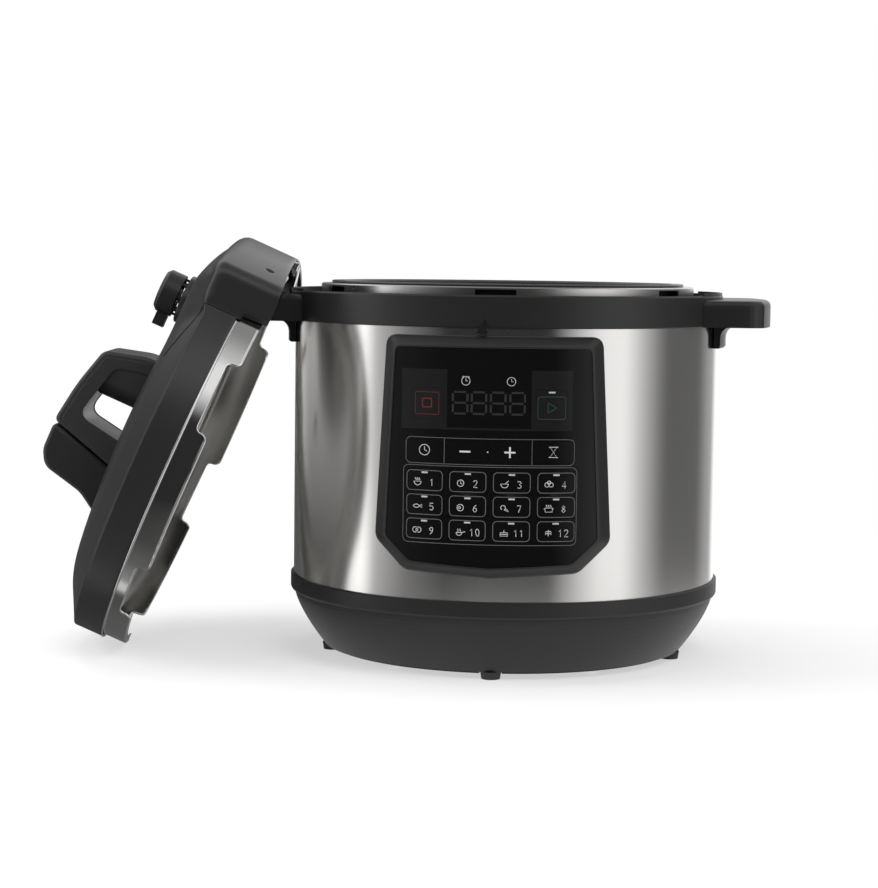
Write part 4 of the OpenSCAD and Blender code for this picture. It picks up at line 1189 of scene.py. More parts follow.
    def build_stop_and_start(self) -> None:
        """Outline and sign of the stop and start keys, and the start key's lamp."""
        outline = rounded_box(shrunk(self.stop, 2.2, 2.2, 2.6, 2.6), 1.0)
        self.print("stop_outline", [(outline, True)], Look.RED_INK, "key_stop", self.outline_line)
        square = rounded_box(shrunk(self.stop, 7.0, 7.0, 7.2, 6.8), 0.6)
        self.print("stop_mark", [(square, True)], Look.RED_INK, "key_stop", self.mark_line)
        outline = rounded_box(shrunk(self.start, 1.2, 1.2, 1.4, 4.4), 1.6)
        self.print(
            "start_outline", [(outline, True)], Look.GREEN_INK, "key_start", self.outline_line
        )
        x0, x1, z0, z1 = self.start
        cx, cz = (x0 + x1) / 2, (z0 + z1) / 2 - 1.4
        arrow = loop((cx - 2.4, cz - 3.2), (cx - 2.4, cz + 3.2), (cx + 3.2, cz))
        self.print("start_mark", [arrow], Look.GREEN_INK, "key_start", self.mark_line)
        lamp = straight((cx - 2.1, z1 - 1.6), (cx + 2.1, z1 - 1.6))
        self.print("start_lamp", [lamp], Look.LAMP_INK, "key_start", 1.0)

    def build_display_band(self) -> None:
        """Stop and start keys, the unlit digits and the two clocks above them."""
        self.build_stop_and_start()
        low, high = self.digit_rows
        mid = (low + high) / 2
        gap = self.digit_gap
        segments: list[Stroke] = []
        for left, right in self.digits:
            segments += [straight((left + gap, z), (right - gap, z)) for z in (low, mid, high)]
            for x in (left, right):
                segments.append(straight((x, low + gap), (x, mid - gap)))
                segments.append(straight((x, mid + gap), (x, high - gap)))
        self.print("display_digits", segments, Look.SEGMENT, "cooker", self.segment_line)
        clocks: list[Stroke] = []
        z = self.clock_height
        for x in self.clocks:
            clocks.append(circle(x, z, self.clock_radius, 22))
            clocks.append(straight((x, z + 1.6), (x, z), (x + 1.3, z)))
        x = self.clocks[0]
        for side in (-1, 1):
            clocks.append(straight((x + side * 2.3, z + 2.2), (x + side * 1.5, z + 3.0)))
        self.print("clock_marks", clocks, Look.WHITE_INK, "cooker", self.clock_line)

    def build_outlines(self) -> None:
        """Lines printed on the film between the keys."""
        edge = rounded_box(self.grid, self.grid_corner)
        self.print("grid_outline", [(edge, True)], Look.GREY_INK, "cooker", self.outline_line)
        z0, z1 = self.row[2] + 0.5, self.row[3] - 0.5
        lines: list[Stroke] = [(rounded_box(self.row, self.row_corner), True)]
        lines += [straight((x, z0), (x, z1)) for x in self.row_dividers]
        self.print("row_outline", lines, Look.GREY_INK, "cooker", self.outline_line)
        z = self.sign_height
        dot = straight((self.row_dot[0], z), (self.row_dot[1], z))
        self.print("row_dot", [dot], Look.WHITE_INK, "cooker", self.mark_line)

    def build(self) -> None:
        """Prints the whole panel."""
        self.build_outlines()
        self.build_display_band()
        self.build_setting_keys()
        self.build_programme_keys()


# ------------------------------------------------------------------------ lid


LID_TILT = 66.1
LID_YAW = 5.2
LID_RIM = (-206.668, -8.0, 134.844)
LID_PLACE = (
    Matrix.Translation(LID_RIM)
    @ Matrix.Rotation(math.radians(LID_YAW), 4, "Z")
    @ Matrix.Rotation(math.radians(-LID_TILT), 4, "Y")
)


def lid_point(u: float, v: float, w: float) -> Vector:
    """A point of the lid's own frame, in metres of the model.

    Args:
        u: Towards the squared end, in millimetres.
        v: Across, in millimetres.
        w: Outwards from the rim's plane, in millimetres.

    Returns:
        The point.
    """
    return (LID_PLACE @ Vector((u, v, w))) * MM


def polar_point(r: float, angle: float, w: float, u: float = 0.0) -> Vector:
    """A point of the lid's frame, found round its axis or round one beside it.

    Args:
        r: Radius in millimetres.
        angle: Direction in radians.
        w: Outwards from the rim's plane, in millimetres.
        u: Place of the other axis towards the squared end.

    Returns:
        The point, in metres of the model.
    """
    return lid_point(u + r * math.cos(angle), r * math.sin(angle), w)


def mesh_of(
    name: str, points: list[Vector], faces: Faces, sharp: float = 35.0
) -> bpy.types.Mesh:
    """Makes a smooth-shaded mesh whose faces point outwards.

    Args:
        name: Name of the mesh.
        points: Its points in metres.
        faces: Its faces by point number.
        sharp: Angle in degrees past which an edge stays sharp.

    Returns:
        The mesh.
    """
    mesh = bpy.data.meshes.new(name)
    mesh.from_pydata(points, [], faces)
    work = bmesh.new()
    work.from_mesh(mesh)
    bmesh.ops.remove_doubles(work, verts=work.verts, dist=0.000001)
    bmesh.ops.dissolve_degenerate(work, edges=work.edges, dist=0.000001)
    bmesh.ops.recalc_face_normals(work, faces=work.faces)
    work.to_mesh(mesh)
    work.free()
    shade(mesh, sharp)
    return mesh


def shade(mesh: bpy.types.Mesh, sharp: float) -> None:
    """Shades a mesh smooth, with sharp edges past an angle in degrees."""
    mesh.polygons.foreach_set("use_smooth", [True] * len(mesh.polygons))
    mesh.set_sharp_from_angle(angle=math.radians(sharp))


def grid_faces(rows: int, columns: int, ring: bool) -> Faces:
    """Quads of a grid whose points are stored row by row, closed round its columns.

    Args:
        rows: Number of rows.
        columns: Points in a row.
        ring: Whether the last row joins the first.

    Returns:
        The faces.
    """
    faces: Faces = []
    for row in range(rows if ring else rows - 1):
        low, high = row * columns, ((row + 1) % rows) * columns
        for k in range(columns):
            n = (k + 1) % columns
            faces.append((low + k, low + n, high + n, high + k))
    return faces


def tube_mesh(
    name: str, path: list[Vector], radius: float, closed: bool, sides: int = 8
) -> bpy.types.Mesh:
    """Sweeps a round wire along a path.

    Args:
        name: Name of the mesh.
        path: Points in metres.
        radius: Wire radius in millimetres.
        closed: Whether the path is a loop.
        sides: Sides of the wire.

    Returns:
        The mesh.
    """
    count = len(path)
    points: list[Vector] = []
    across = Vector((0.3, 0.2, 1.0))
    for k, point in enumerate(path):
        before = path[k - 1] if closed or k else point
        after = path[(k + 1) % count] if closed or k < count - 1 else point
        ahead = (after - before).normalized()
        side = (across - ahead * across.dot(ahead)).normalized()
        across = side
        rise = ahead.cross(side)
        for s in range(sides):
            a = math.tau * s / sides
            points.append(point + (side * math.cos(a) + rise * math.sin(a)) * radius * MM)
    faces = grid_faces(count, sides, closed)
    if not closed:
        faces += [tuple(range(sides)), tuple((count - 1) * sides + s for s in range(sides))]
    return mesh_of(name, points, faces, 60.0)


def soft_least(a: float, b: float, soft: float) -> float:
    """The lesser of two values, rounded where they meet."""
    h = max(soft - abs(a - b), 0.0) / soft
    return min(a, b) - h * h * soft / 4


def soft_most(a: float, b: float, soft: float) -> float:
    """The greater of two values, rounded where they meet."""
    return -soft_least(-a, -b, soft)


def cylinder_between(
    name: str, start: Vector, end: Vector, radius: float, sides: int = 40
) -> bpy.types.Object:
    """A closed cylinder that cuts a bore; it is deleted after use.

    Args:
        name: Name of the object.
        start: One end in metres.
        end: Other end in metres.
        radius: Radius in millimetres.
        sides: Sides of the cylinder.

    Returns:
        The object.
    """
    ahead = (end - start).normalized()
    side = ahead.orthogonal().normalized()
    rise = ahead.cross(side)
    angles = [math.tau * k / sides for k in range(sides)]
    points = [
        place + (side * math.cos(a) + rise * math.sin(a)) * radius * MM
        for place in (start, end)
        for a in angles
    ]
    ends = [tuple(range(sides)), tuple(range(sides, 2 * sides))]
    faces = grid_faces(2, sides, False) + ends
    return linked(name, mesh_of(name, points, faces))


def bored(mesh: bpy.types.Mesh, cutters: list[bpy.types.Object]) -> bpy.types.Mesh:
    """Cuts bores in a mesh.

    Args:
        mesh: Closed mesh.
        cutters: Closed cutters, deleted afterwards.

    Returns:
        The cut mesh.
    """
    carrier = linked(mesh.name + "_uncut", mesh)
    for cutter in cutters:
        cut = carrier.modifiers.new(cutter.name, "BOOLEAN")
        cut.operation = "DIFFERENCE"
        cut.solver = "EXACT"
        cut.object = cutter
    done = evaluated_mesh(carrier)
    for thing in (carrier, *cutters):
        bpy.data.objects.remove(thing)
    return done


@dataclass
class LidShell:
    """Moulded lid cover: a dome with a squared end, and the steel edge under its skirt."""

    radius: float = 149.7
    deck_radius: float = 121.0
    deck_height: float = 52.2
    dome_rise: float = 10.0
    bevel_slope: float = 0.5286
    bevel_blend: float = 3.0
    skirt_low: float = 16.8
    wing_half: float = 110.0
    wing_arc: float = 304.0
    wing_step: float = 0.2
    wing_corner: float = 7.0
    wing_drop: float = 3.5
    wing_mid: float = 2.2
    wing_low_u: float = 90.0
    wing_low_v: float = 60.0
    wing_low_step: float = 3.0
    wing_box_u: float = 108.0
    wing_edge_height: float = 40.0
    wing_top: float = 55.4
    wing_slope: float = 0.66
    wing_blend: float = 8.0
    wing_foot_blend: float = 1.6
    fillet: float = 1.2
    end_fillet: float = 6.6
    fillet_from: Point2 = (150.2, 124.0)
    fillet_run: Point2 = (6.0, 12.0)
    inner_radius: float = 148.4
    end_inner_radius: float = 151.0
    end_depth: float = 8.0
    end_depth_from: float = 154.5
    end_depth_run: float = 3.0
    thinnest: float = 1.3
    wall: float = 2.6
    top_rows: int = 66
    fillet_rows: int = 5
    wall_rows: int = 14
    under_rows: int = 14
    knob_u: float = 91.0
    knob_sides: int = 64
    float_place: Point2 = (60.0, 44.0)
    float_bore: float = 5.0
    screw_v: float = 86.0
    screw_w: float = 11.0
    screw_bore: float = 2.9
    screw_bore_start: float = 4.4
    screw_bore_length: float = 12.0
    steel_radius: float = 149.3
    steel_height: float = 16.2
    steel_wire: float = 0.75
    steel_arc: Point2 = (48.5, 263.0)
    # Tubes of painted shadow along the seams: their radius, where they start, and the height they
    # run down from.
    seam_shadow_wire: float = 0.42
    seam_shadow_start: float = 58.0
    seam_shadow_top: float = 37.5

    def deck_at(self, r: float) -> float:
        """Height of the domed deck at a radius."""
        return self.deck_height + self.dome_rise * (1 - (r / self.deck_radius) ** 2)

    def inside(self, u: float, v: float) -> float:
        """Distance inside the cover's outline, negative outside it."""
        return soft_most(self.radius - math.hypot(u, v), self.wing_inside(u, v), 0.3)

    def wing_inside(self, u: float, v: float) -> float:
        """Distance inside the squared end's outline, far outside it on the round side.

        Args:
            u: Towards the squared end.
            v: Across.

        Returns:
            The distance, negative outside.
        """
        if u < 0:
            return -200.0
        centre = self.radius + self.wing_step - self.wing_arc
        end = centre + math.sqrt(max(self.wing_arc**2 - v * v, 0.0)) - u
        return soft_least(self.wing_half - abs(v), end, self.wing_corner)

    def height(self, u: float, v: float) -> float:
        """Height of the outer skin over a place in the plan.

        Args:
            u: Towards the squared end.
            v: Across.

        Returns:
            The height.
        """
        r = math.hypot(u, v)
        bevel = self.deck_height - (r - self.deck_radius) * self.bevel_slope
        dome = soft_least(self.deck_at(r), bevel, self.bevel_blend)
        rise = self.wing_edge_height + self.wing_slope * self.wing_inside(u, v)
        wing = soft_least(self.wing_top, rise, self.wing_blend)
        return soft_most(dome, wing, self.wing_foot_blend)

    def edge_radius(self, angle: float) -> float:
        """Radius of the outline in a direction, found by halving.

        Args:
            angle: The direction in radians.

        Returns:
            The radius.
        """
        low, high = 100.0, 190.0
        for _ in range(40):
            mid = (low + high) / 2
            if self.inside(mid * math.cos(angle), mid * math.sin(angle)) > 0:
                low = mid
            else:
                high = mid
        return low

    def low_edge(self, u: float, v: float, r: float) -> float:
        """Height of the skirt's lower edge, which dips in an arc below the squared end.

        Args:
            u: Towards the squared end.
            v: Across.
            r: Radius of the outline there.

        Returns:
            The height.
        """
        round_side = r < self.radius + 0.15 and abs(v) > self.wing_low_v
        if round_side or u < self.wing_low_u:
            return self.skirt_low
        if u < self.wing_box_u:
            return self.skirt_low - self.wing_low_step
        sag = self.wing_mid + self.wing_drop
        reach = (self.wing_half**2 + sag**2) / (2 * sag)
        return self.wing_mid - reach + math.sqrt(reach * reach - v * v)

    def fillet_at(self, edge: float, u: float) -> float:
        """Radius of the top edge's rounding, which grows round the squared end.

        Args:
            edge: Radius of the outline.
            u: Its place towards the squared end.

        Returns:
            The fillet's radius.
        """
        corner, along = (
            (place - start) / run
            for place, start, run in zip((edge, u), self.fillet_from, self.fillet_run)
        )
        return self.fillet + self.end_fillet * min(1.0, max(0.0, corner, along))

    def profile(self, angle: float) -> list[Point2]:
        """Radius and height of every row of the closed skin in one direction.

        The rows run over the deck, round the top edge, down the wall, across the skirt's
        lower edge and back under the deck.

        Args:
            angle: The direction in radians.

        Returns:
            The rows.
        """
        c, s = math.cos(angle), math.sin(angle)
        edge = self.edge_radius(angle)
        fillet = self.fillet_at(edge, edge * c)
        top = edge - fillet
        radii = [top * k / self.top_rows for k in range(1, self.top_rows + 1)]
        rows = [(r, self.height(r * c, r * s)) for r in radii]
        crest = rows[-1][1]
        for k in range(1, self.fillet_rows + 1):
            a = math.pi / 2 * k / self.fillet_rows
            rows.append((top + fillet * math.sin(a), crest - fillet * (1 - math.cos(a))))
        low = self.low_edge(edge * c, edge * s, edge)
        high, foot = rows[-1][1], low + 0.7
        count = self.wall_rows
        rows += [(edge, high + (foot - high) * k / count) for k in range(1, count + 1)]
        rows += [(edge - 0.2, low + 0.2), (edge - 0.6, low)]
        inner = min(self.inner_radius, edge - self.thinnest)
        share = (edge - self.end_depth_from) / self.end_depth_run
        deep = min(1.0, max(0.0, share)) * self.end_depth
        outer_wall = edge - self.wall if deep else (edge + inner) / 2
        inner_wall = self.end_inner_radius if deep else (edge + inner) / 2
        rows += [(outer_wall, low), (outer_wall, low + deep)]
        rows += [(inner_wall, low + deep), (inner_wall, low), (inner, low)]
        under = self.height(inner * c, inner * s) - self.wall
        rows += [(inner, min(under - 1.0, self.skirt_low + 1.0)), (inner, under)]
        radii = [inner * k / self.under_rows for k in range(self.under_rows - 1, 0, -1)]
        rows += [(r, self.height(r * c, r * s) - self.wall) for r in radii]
        return rows

    def angles(self) -> list[float]:
        """Directions of the skin's columns, close together at the squared end's corners.

        Returns:
            The directions in degrees.
        """
        degrees = [float(a) for a in range(50, 311, 2)]
        for start in (-50, 30):
            degrees += [start + 0.5 * k for k in range(12)]
            degrees += [start + 6 + 0.25 * k for k in range(44)]
            degrees += [start + 17 + 0.5 * k for k in range(6)]
        degrees += [-30 + 1.5 * k for k in range(40)]
        return sorted({round(a % 360, 3) for a in degrees})

    def screw_cutter(self, side: int) -> bpy.types.Object:
        """Cutter of the screw bore in the squared end's wall, on one side of its middle.

        Args:
            side: -1 or 1.

        Returns:
            The cutter.
        """
        turn = side * math.asin(self.screw_v / self.wing_arc)
        u = self.radius + self.wing_step - self.wing_arc * (1 - math.cos(turn))
        ahead = Vector((math.cos(turn), math.sin(turn), 0))
        foot = Vector((u, side * self.screw_v, self.screw_w)) - ahead * self.screw_bore_start
        tip = foot + ahead * self.screw_bore_length
        return cylinder_between(
            f"screw_bore_{side}", lid_point(*foot), lid_point(*tip), self.screw_bore
        )

    def skin(self) -> bpy.types.Mesh:
        """Closed mesh of the cover with its bores.

        Returns:
            The mesh.
        """
        columns = [math.radians(a) for a in self.angles()]
        profiles = [self.profile(a) for a in columns]
        count = len(columns)
        rows = len(profiles[0])
        points = [
            polar_point(profile[row][0], angle, profile[row][1])
            for row in range(rows)
            for profile, angle in zip(profiles, columns)
        ]
        faces = grid_faces(rows, count, False)
        crown = self.height(0, 0)
        points += [lid_point(0, 0, crown), lid_point(0, 0, crown - self.wall)]
        for k in range(count):
            n = (k + 1) % count
            faces.append((rows * count, k, n))
            faces.append((rows * count + 1, (rows - 1) * count + n, (rows - 1) * count + k))
        mesh = mesh_of("lid_skin", points, faces, 38.0)
        low, high = lid_point(*self.float_place, 40), lid_point(*self.float_place, 70)
        cutters = [cylinder_between("float_bore", low, high, self.float_bore)]
        cutters += [self.screw_cutter(side) for side in (-1, 1)]
        return bored(mesh, cutters)

    def knob_boss(self) -> bpy.types.Mesh:
        """Round boss on the deck, on which the steam release knob turns.

        Returns:
            The mesh.
        """
        base = self.deck_at(self.knob_u)
        profile = (
            (0.0, base - 3), (20.5, base - 3), (19.0, base + 0.6), (18.0, base + 1.6),
            (17.5, base + 3.0), (17.5, base + 6.6), (17.1, base + 7.6), (16.2, base + 8.0),
            (0.0, base + 8.0),
        )
        points = [
            polar_point(r, math.tau * k / self.knob_sides, w, self.knob_u)
            for r, w in profile
            for k in range(self.knob_sides)
        ]
        return mesh_of("knob_boss", points, grid_faces(len(profile), self.knob_sides, False))

    def build(self) -> None:
        """Makes the cover, the boss under the knob, the steel edge and the lines of painted shadow
        along the seams.
        """
        piece = new_piece("lid_cover_skin", self.skin(), Look.LID, "lid")
        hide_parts("lid_cover")
        new_piece("knob_boss", self.knob_boss(), Look.LID, "lid")
        start, sweep = self.steel_arc
        arc = [math.radians(start + sweep * k / 180) for k in range(181)]
        path = [polar_point(self.steel_radius, a, self.steel_height) for a in arc]
        edge = tube_mesh("lid_steel_edge", path, self.steel_wire, False)
        new_piece("lid_steel_edge", edge, Look.BRIGHT, "lid")
        self.build_seam_shadows()

    def build_seam_shadows(self) -> None:
        """Near-black lines of painted shadow along the seams where the squared end's side walls
        meet the dome and its skirt.
        """
        half = self.wing_half + 0.1
        meet = math.sqrt(self.radius**2 - half**2)
        start = self.seam_shadow_start
        for side, name in ((-1, "lid_seam_shadow_front"), (1, "lid_seam_shadow_rear")):
            path = []
            for k in range(22):
                u = start + (meet - 0.3 - start) * k / 21
                path.append(lid_point(u, side * half, self.height(u, side * half) + 0.02))
            down = [self.seam_shadow_top - 20.0 * k / 8 for k in range(9)]
            path += [lid_point(meet + 0.1, side * (half + 0.05), w) for w in down]
            # Each tube is a near-black line of painted shade lying in the real crease.
            new_piece(name, tube_mesh(name, path, self.seam_shadow_wire, False), Look.SEAM, "lid")


@dataclass
class PanLip:
    """Rolled bright lips of the lid pan: along its lugs and round its notches."""

    radius: float = 147.6
    notch_height: float = 9.2
    notch_share: float = 0.37
    first_notch: float = 50.0
    lug_round: float = 5.0
    lugs: int = 6
    corner: float = 4.0
    wire: float = 0.8
    lowest: float = 0.4
    lug_steps: int = 12

    def outline(self, centre: float) -> list[Vector]:
        """Points of one lug's lower edge and of the notch beside it.

        Args:
            centre: Direction of the notch's middle in degrees.

        Returns:
            The points in metres.
        """
        angle = self.notch_share * 360 / self.lugs
        half = self.radius * math.sin(math.radians(angle / 2)) - self.lug_round / 2
        flat: list[Point2] = []
        parts = (
            (-half - self.lug_round, self.lug_round, self.lug_round, -90, 0),
            (-half + self.corner, self.notch_height - self.corner, self.corner, 180, 90),
            (half - self.corner, self.notch_height - self.corner, self.corner, 90, 0),
            (half + self.lug_round, self.lug_round, self.lug_round, 180, 270),
        )
        for cx, cw, r, a0, a1 in parts:
            flat += arc_line(cx, cw, r, a0, a1, 6)
        across = [(math.degrees(math.asin(t / self.radius)), w) for t, w in flat]
        last = across[-1][0]
        step = (360 / self.lugs - 2 * last) / self.lug_steps
        across += [(last + step * k, self.lowest) for k in range(1, self.lug_steps)]
        r = self.radius - self.wire
        return [
            polar_point(r, math.radians(centre + a), max(w, self.lowest)) for a, w in across
        ]

    def build(self) -> None:
        """Makes the lip as one wire round the pan."""
        path: list[Vector] = []
        for k in range(self.lugs):
            path += self.outline(self.first_notch + 360 / self.lugs * k)
        new_piece("pan_lip", tube_mesh("pan_lip", path, self.wire, True), Look.BRIGHT, "lid")


def rounded_outline(corners: list[Corner], steps: int = 6) -> list[Point2]:
    """Outline with each corner rounded by its own radius.

    Args:
        corners: Corner points with their radii.
        steps: Steps of each arc.

    Returns:
        The outline's points.
    """
    outline: list[Point2] = []
    count = len(corners)
    for k, (x, y, r) in enumerate(corners):
        here = Vector((x, y))
        back = Vector(corners[k - 1][:2]) - here
        on = Vector(corners[(k + 1) % count][:2]) - here
        reach = 0.0
        if r > 0:
            half = back.angle(on) / 2
            reach = min(r / math.tan(half), back.length * 0.48, on.length * 0.48)
        if reach < 0.01:
            outline.append((x, y))
            continue
        a, b = here + back.normalized() * reach, here + on.normalized() * reach
        for s in range(steps + 1):
            t = s / steps
            point = a * (1 - t) ** 2 + here * 2 * t * (1 - t) + b * t * t
            outline.append((point.x, point.y))
    return outline


def spaced(outline: list[Point2], least: float = 0.7) -> list[Point2]:
    """Outline without points that nearly coincide.

    Args:
        outline: Closed outline.
        least: Least distance between neighbours in millimetres.

    Returns:
        The thinned outline.
    """
    kept = [outline[0]]
    for point in outline[1:]:
        if math.dist(point, kept[-1]) > least:
            kept.append(point)
    while math.dist(kept[-1], kept[0]) < least:
        kept.pop()
    return kept


def signed_area(outline: list[Point2]) -> float:
    """Area of an outline, positive where it runs counter-clockwise."""
    pairs = zip(outline, outline[1:] + outline[:1])
    return sum(p[0] * q[1] - q[0] * p[1] for p, q in pairs) / 2


def upright(y: float = 0.0) -> Matrix:
    """Stands a plate drawn in X-Y up in the X-Z plane, at a place along Y."""
    return Matrix(((1, 0, 0, 0), (0, 0, -1, y), (0, 1, 0, 0), (0, 0, 0, 1)))


def soft_plate(
    name: str, loops: list[list[Point2]], half: float, edge: float, place: Matrix
) -> bpy.types.Mesh:
    """A plate with an outline, holes and rounded edges.

    Args:
        name: Name of the mesh.
        loops: The outline, then the holes, in millimetres.
        half: Half the plate's thickness in millimetres.
        edge: Radius of its edges in millimetres.
        place: Turns the plate, drawn in X-Y and thick along Z, to its place in millimetres.

    Returns:
        The mesh, in metres.
    """
    curve = bpy.data.curves.new(name, "CURVE")
    curve.dimensions = "2D"
    curve.fill_mode = "BOTH"
    curve.extrude = half - edge
    curve.bevel_depth = edge
    curve.bevel_resolution = 4
    curve.offset = -edge
    for k, points in enumerate(loops):
        even = spaced(points)
        turned = even if (signed_area(even) < 0) == (k == 0) else even[::-1]
        spline = curve.splines.new("POLY")
        spline.points.add(len(turned) - 1)
        for point, (x, y) in zip(spline.points, turned):
            point.co = (x, y, 0.0, 1.0)
        spline.use_cyclic_u = True
    carrier = linked(name, curve)
    mesh = evaluated_mesh(carrier)
    bpy.data.objects.remove(carrier)
    work = bmesh.new()
    work.from_mesh(mesh)
    bmesh.ops.remove_doubles(work, verts=work.verts, dist=0.01)
    bmesh.ops.transform(work, matrix=Matrix.Scale(MM, 4) @ place, verts=work.verts)
    bmesh.ops.recalc_face_normals(work, faces=work.faces)
    work.to_mesh(mesh)
    work.free()
    mesh.name = name
    shade(mesh, 40.0)
    return mesh


@dataclass
class ArchHandle:
    """Arch-shaped lifting handle with its face plates, rear column and end cap.

    Its outlines are drawn towards the squared end and outwards from the rim's plane.
    """

    half: float = 27.0
    band_edge: float = 3.0
    band_lap: float = 2.6
    face_margin: float = 4.2
    face_proud: float = 0.3
    face_edge: float = 0.6
    cap_edge: float = 3.4
    column_u: float = 32.0
    column_radius: float = 26.4
    column_arc: Point2 = (76.0, 284.0)
    column_middle: float = 74.0
    column_half: float = 17.0
    column_edge: float = 0.5
    outer: tuple[Corner, ...] = (
        (45.5, 57.0, 0.0),
        (44.8, 70.0, 30.0),
        (37.0, 97.4, 9.0),
        (8.0, 105.4, 160.0),
        (-21.9, 109.6, 5.0),
        (-37.4, 56.0, 0.0),
    )
    hole: tuple[Corner, ...] = (
        (34.6, 50.0, 0.0),
        (34.4, 66.0, 40.0),
        (29.6, 85.6, 8.0),
        (-12.0, 96.0, 9.0),
        (-18.6, 56.0, 0.0),
        (-18.6, 50.0, 0.0),
    )
    cap: tuple[Corner, ...] = (
        (-22.9, 109.0, 4.0),
        (-44.0, 108.7, 16.0),
        (-54.5, 103.0, 14.0),
        (-61.2, 73.0, 26.0),
        (-72.0, 56.0, 0.0),
        (-38.6, 56.0, 0.0),
    )

    def inset(self, corners: tuple[Corner, ...], by: float) -> list[Point2]:
        """Rounded outline moved inwards.

        Args:
            corners: Corner points with their radii.
            by: Distance in millimetres, negative to move it outwards.

        Returns:
            The outline, without the points that crossed over at its corners.
        """
        points = spaced(rounded_outline(list(corners), 10))
        turn = 1.0 if signed_area(points) > 0 else -1.0
        moved: list[Point2] = []
        count = len(points)
        for k, p in enumerate(points):
            ahead = Vector(points[(k + 1) % count]) - Vector(points[k - 1])
            if ahead.length < 1e-6:
                continue
            ahead.normalize()
            moved.append((p[0] - ahead.y * turn * by, p[1] + ahead.x * turn * by))
        return [m for m in moved if min(math.dist(m, p) for p in points) > abs(by) - 0.12]

    def plate(
        self, name: str, loops: list[list[Point2]], half: float, edge: float, look: Look
    ) -> bpy.types.Object:
        """Makes a plate that stands in the lid's middle plane, thick to both sides.

        Args:
            name: Name of the piece.
            loops: The outline, then the holes.
            half: Half its thickness.
            edge: Radius of its edges.
            look: Its finish.

        Returns:
            The piece.
        """
        mesh = soft_plate(name, loops, half, edge, LID_PLACE @ upright())
        return new_piece(name, mesh, look, "lid")

    def build(self) -> None:
        """Makes the handle's pieces and hides their plain nodes."""
        outer = rounded_outline(list(self.outer), 12)
        hole = rounded_outline(list(self.hole), 8)
        opening = self.inset(self.hole, -self.band_lap)
        band = self.plate("arch_shell", [outer, opening], self.half, self.band_edge, Look.ARCH)
        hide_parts("arch_handle")
        face, proud = self.inset(self.outer, self.face_margin), self.half + self.face_proud
        self.plate("arch_face", [face, hole], proud, self.face_edge, Look.ARCH)
        outline = rounded_outline(list(self.cap), 12)
        cap = self.plate("arch_end_cap", [outline], self.half, self.cap_edge, Look.CAP)
        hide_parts("arch_cap")
        bow = arc_line(self.column_u, 0.0, self.column_radius, *self.column_arc, 40)
        rise = LID_PLACE @ Matrix.Translation((0, 0, self.column_middle))
        column = soft_plate("arch_column", [bow], self.column_half, self.column_edge, rise)
        new_piece("arch_column", column, Look.ARCH, "lid")


# ---------------------------------------------------------------------- bezel


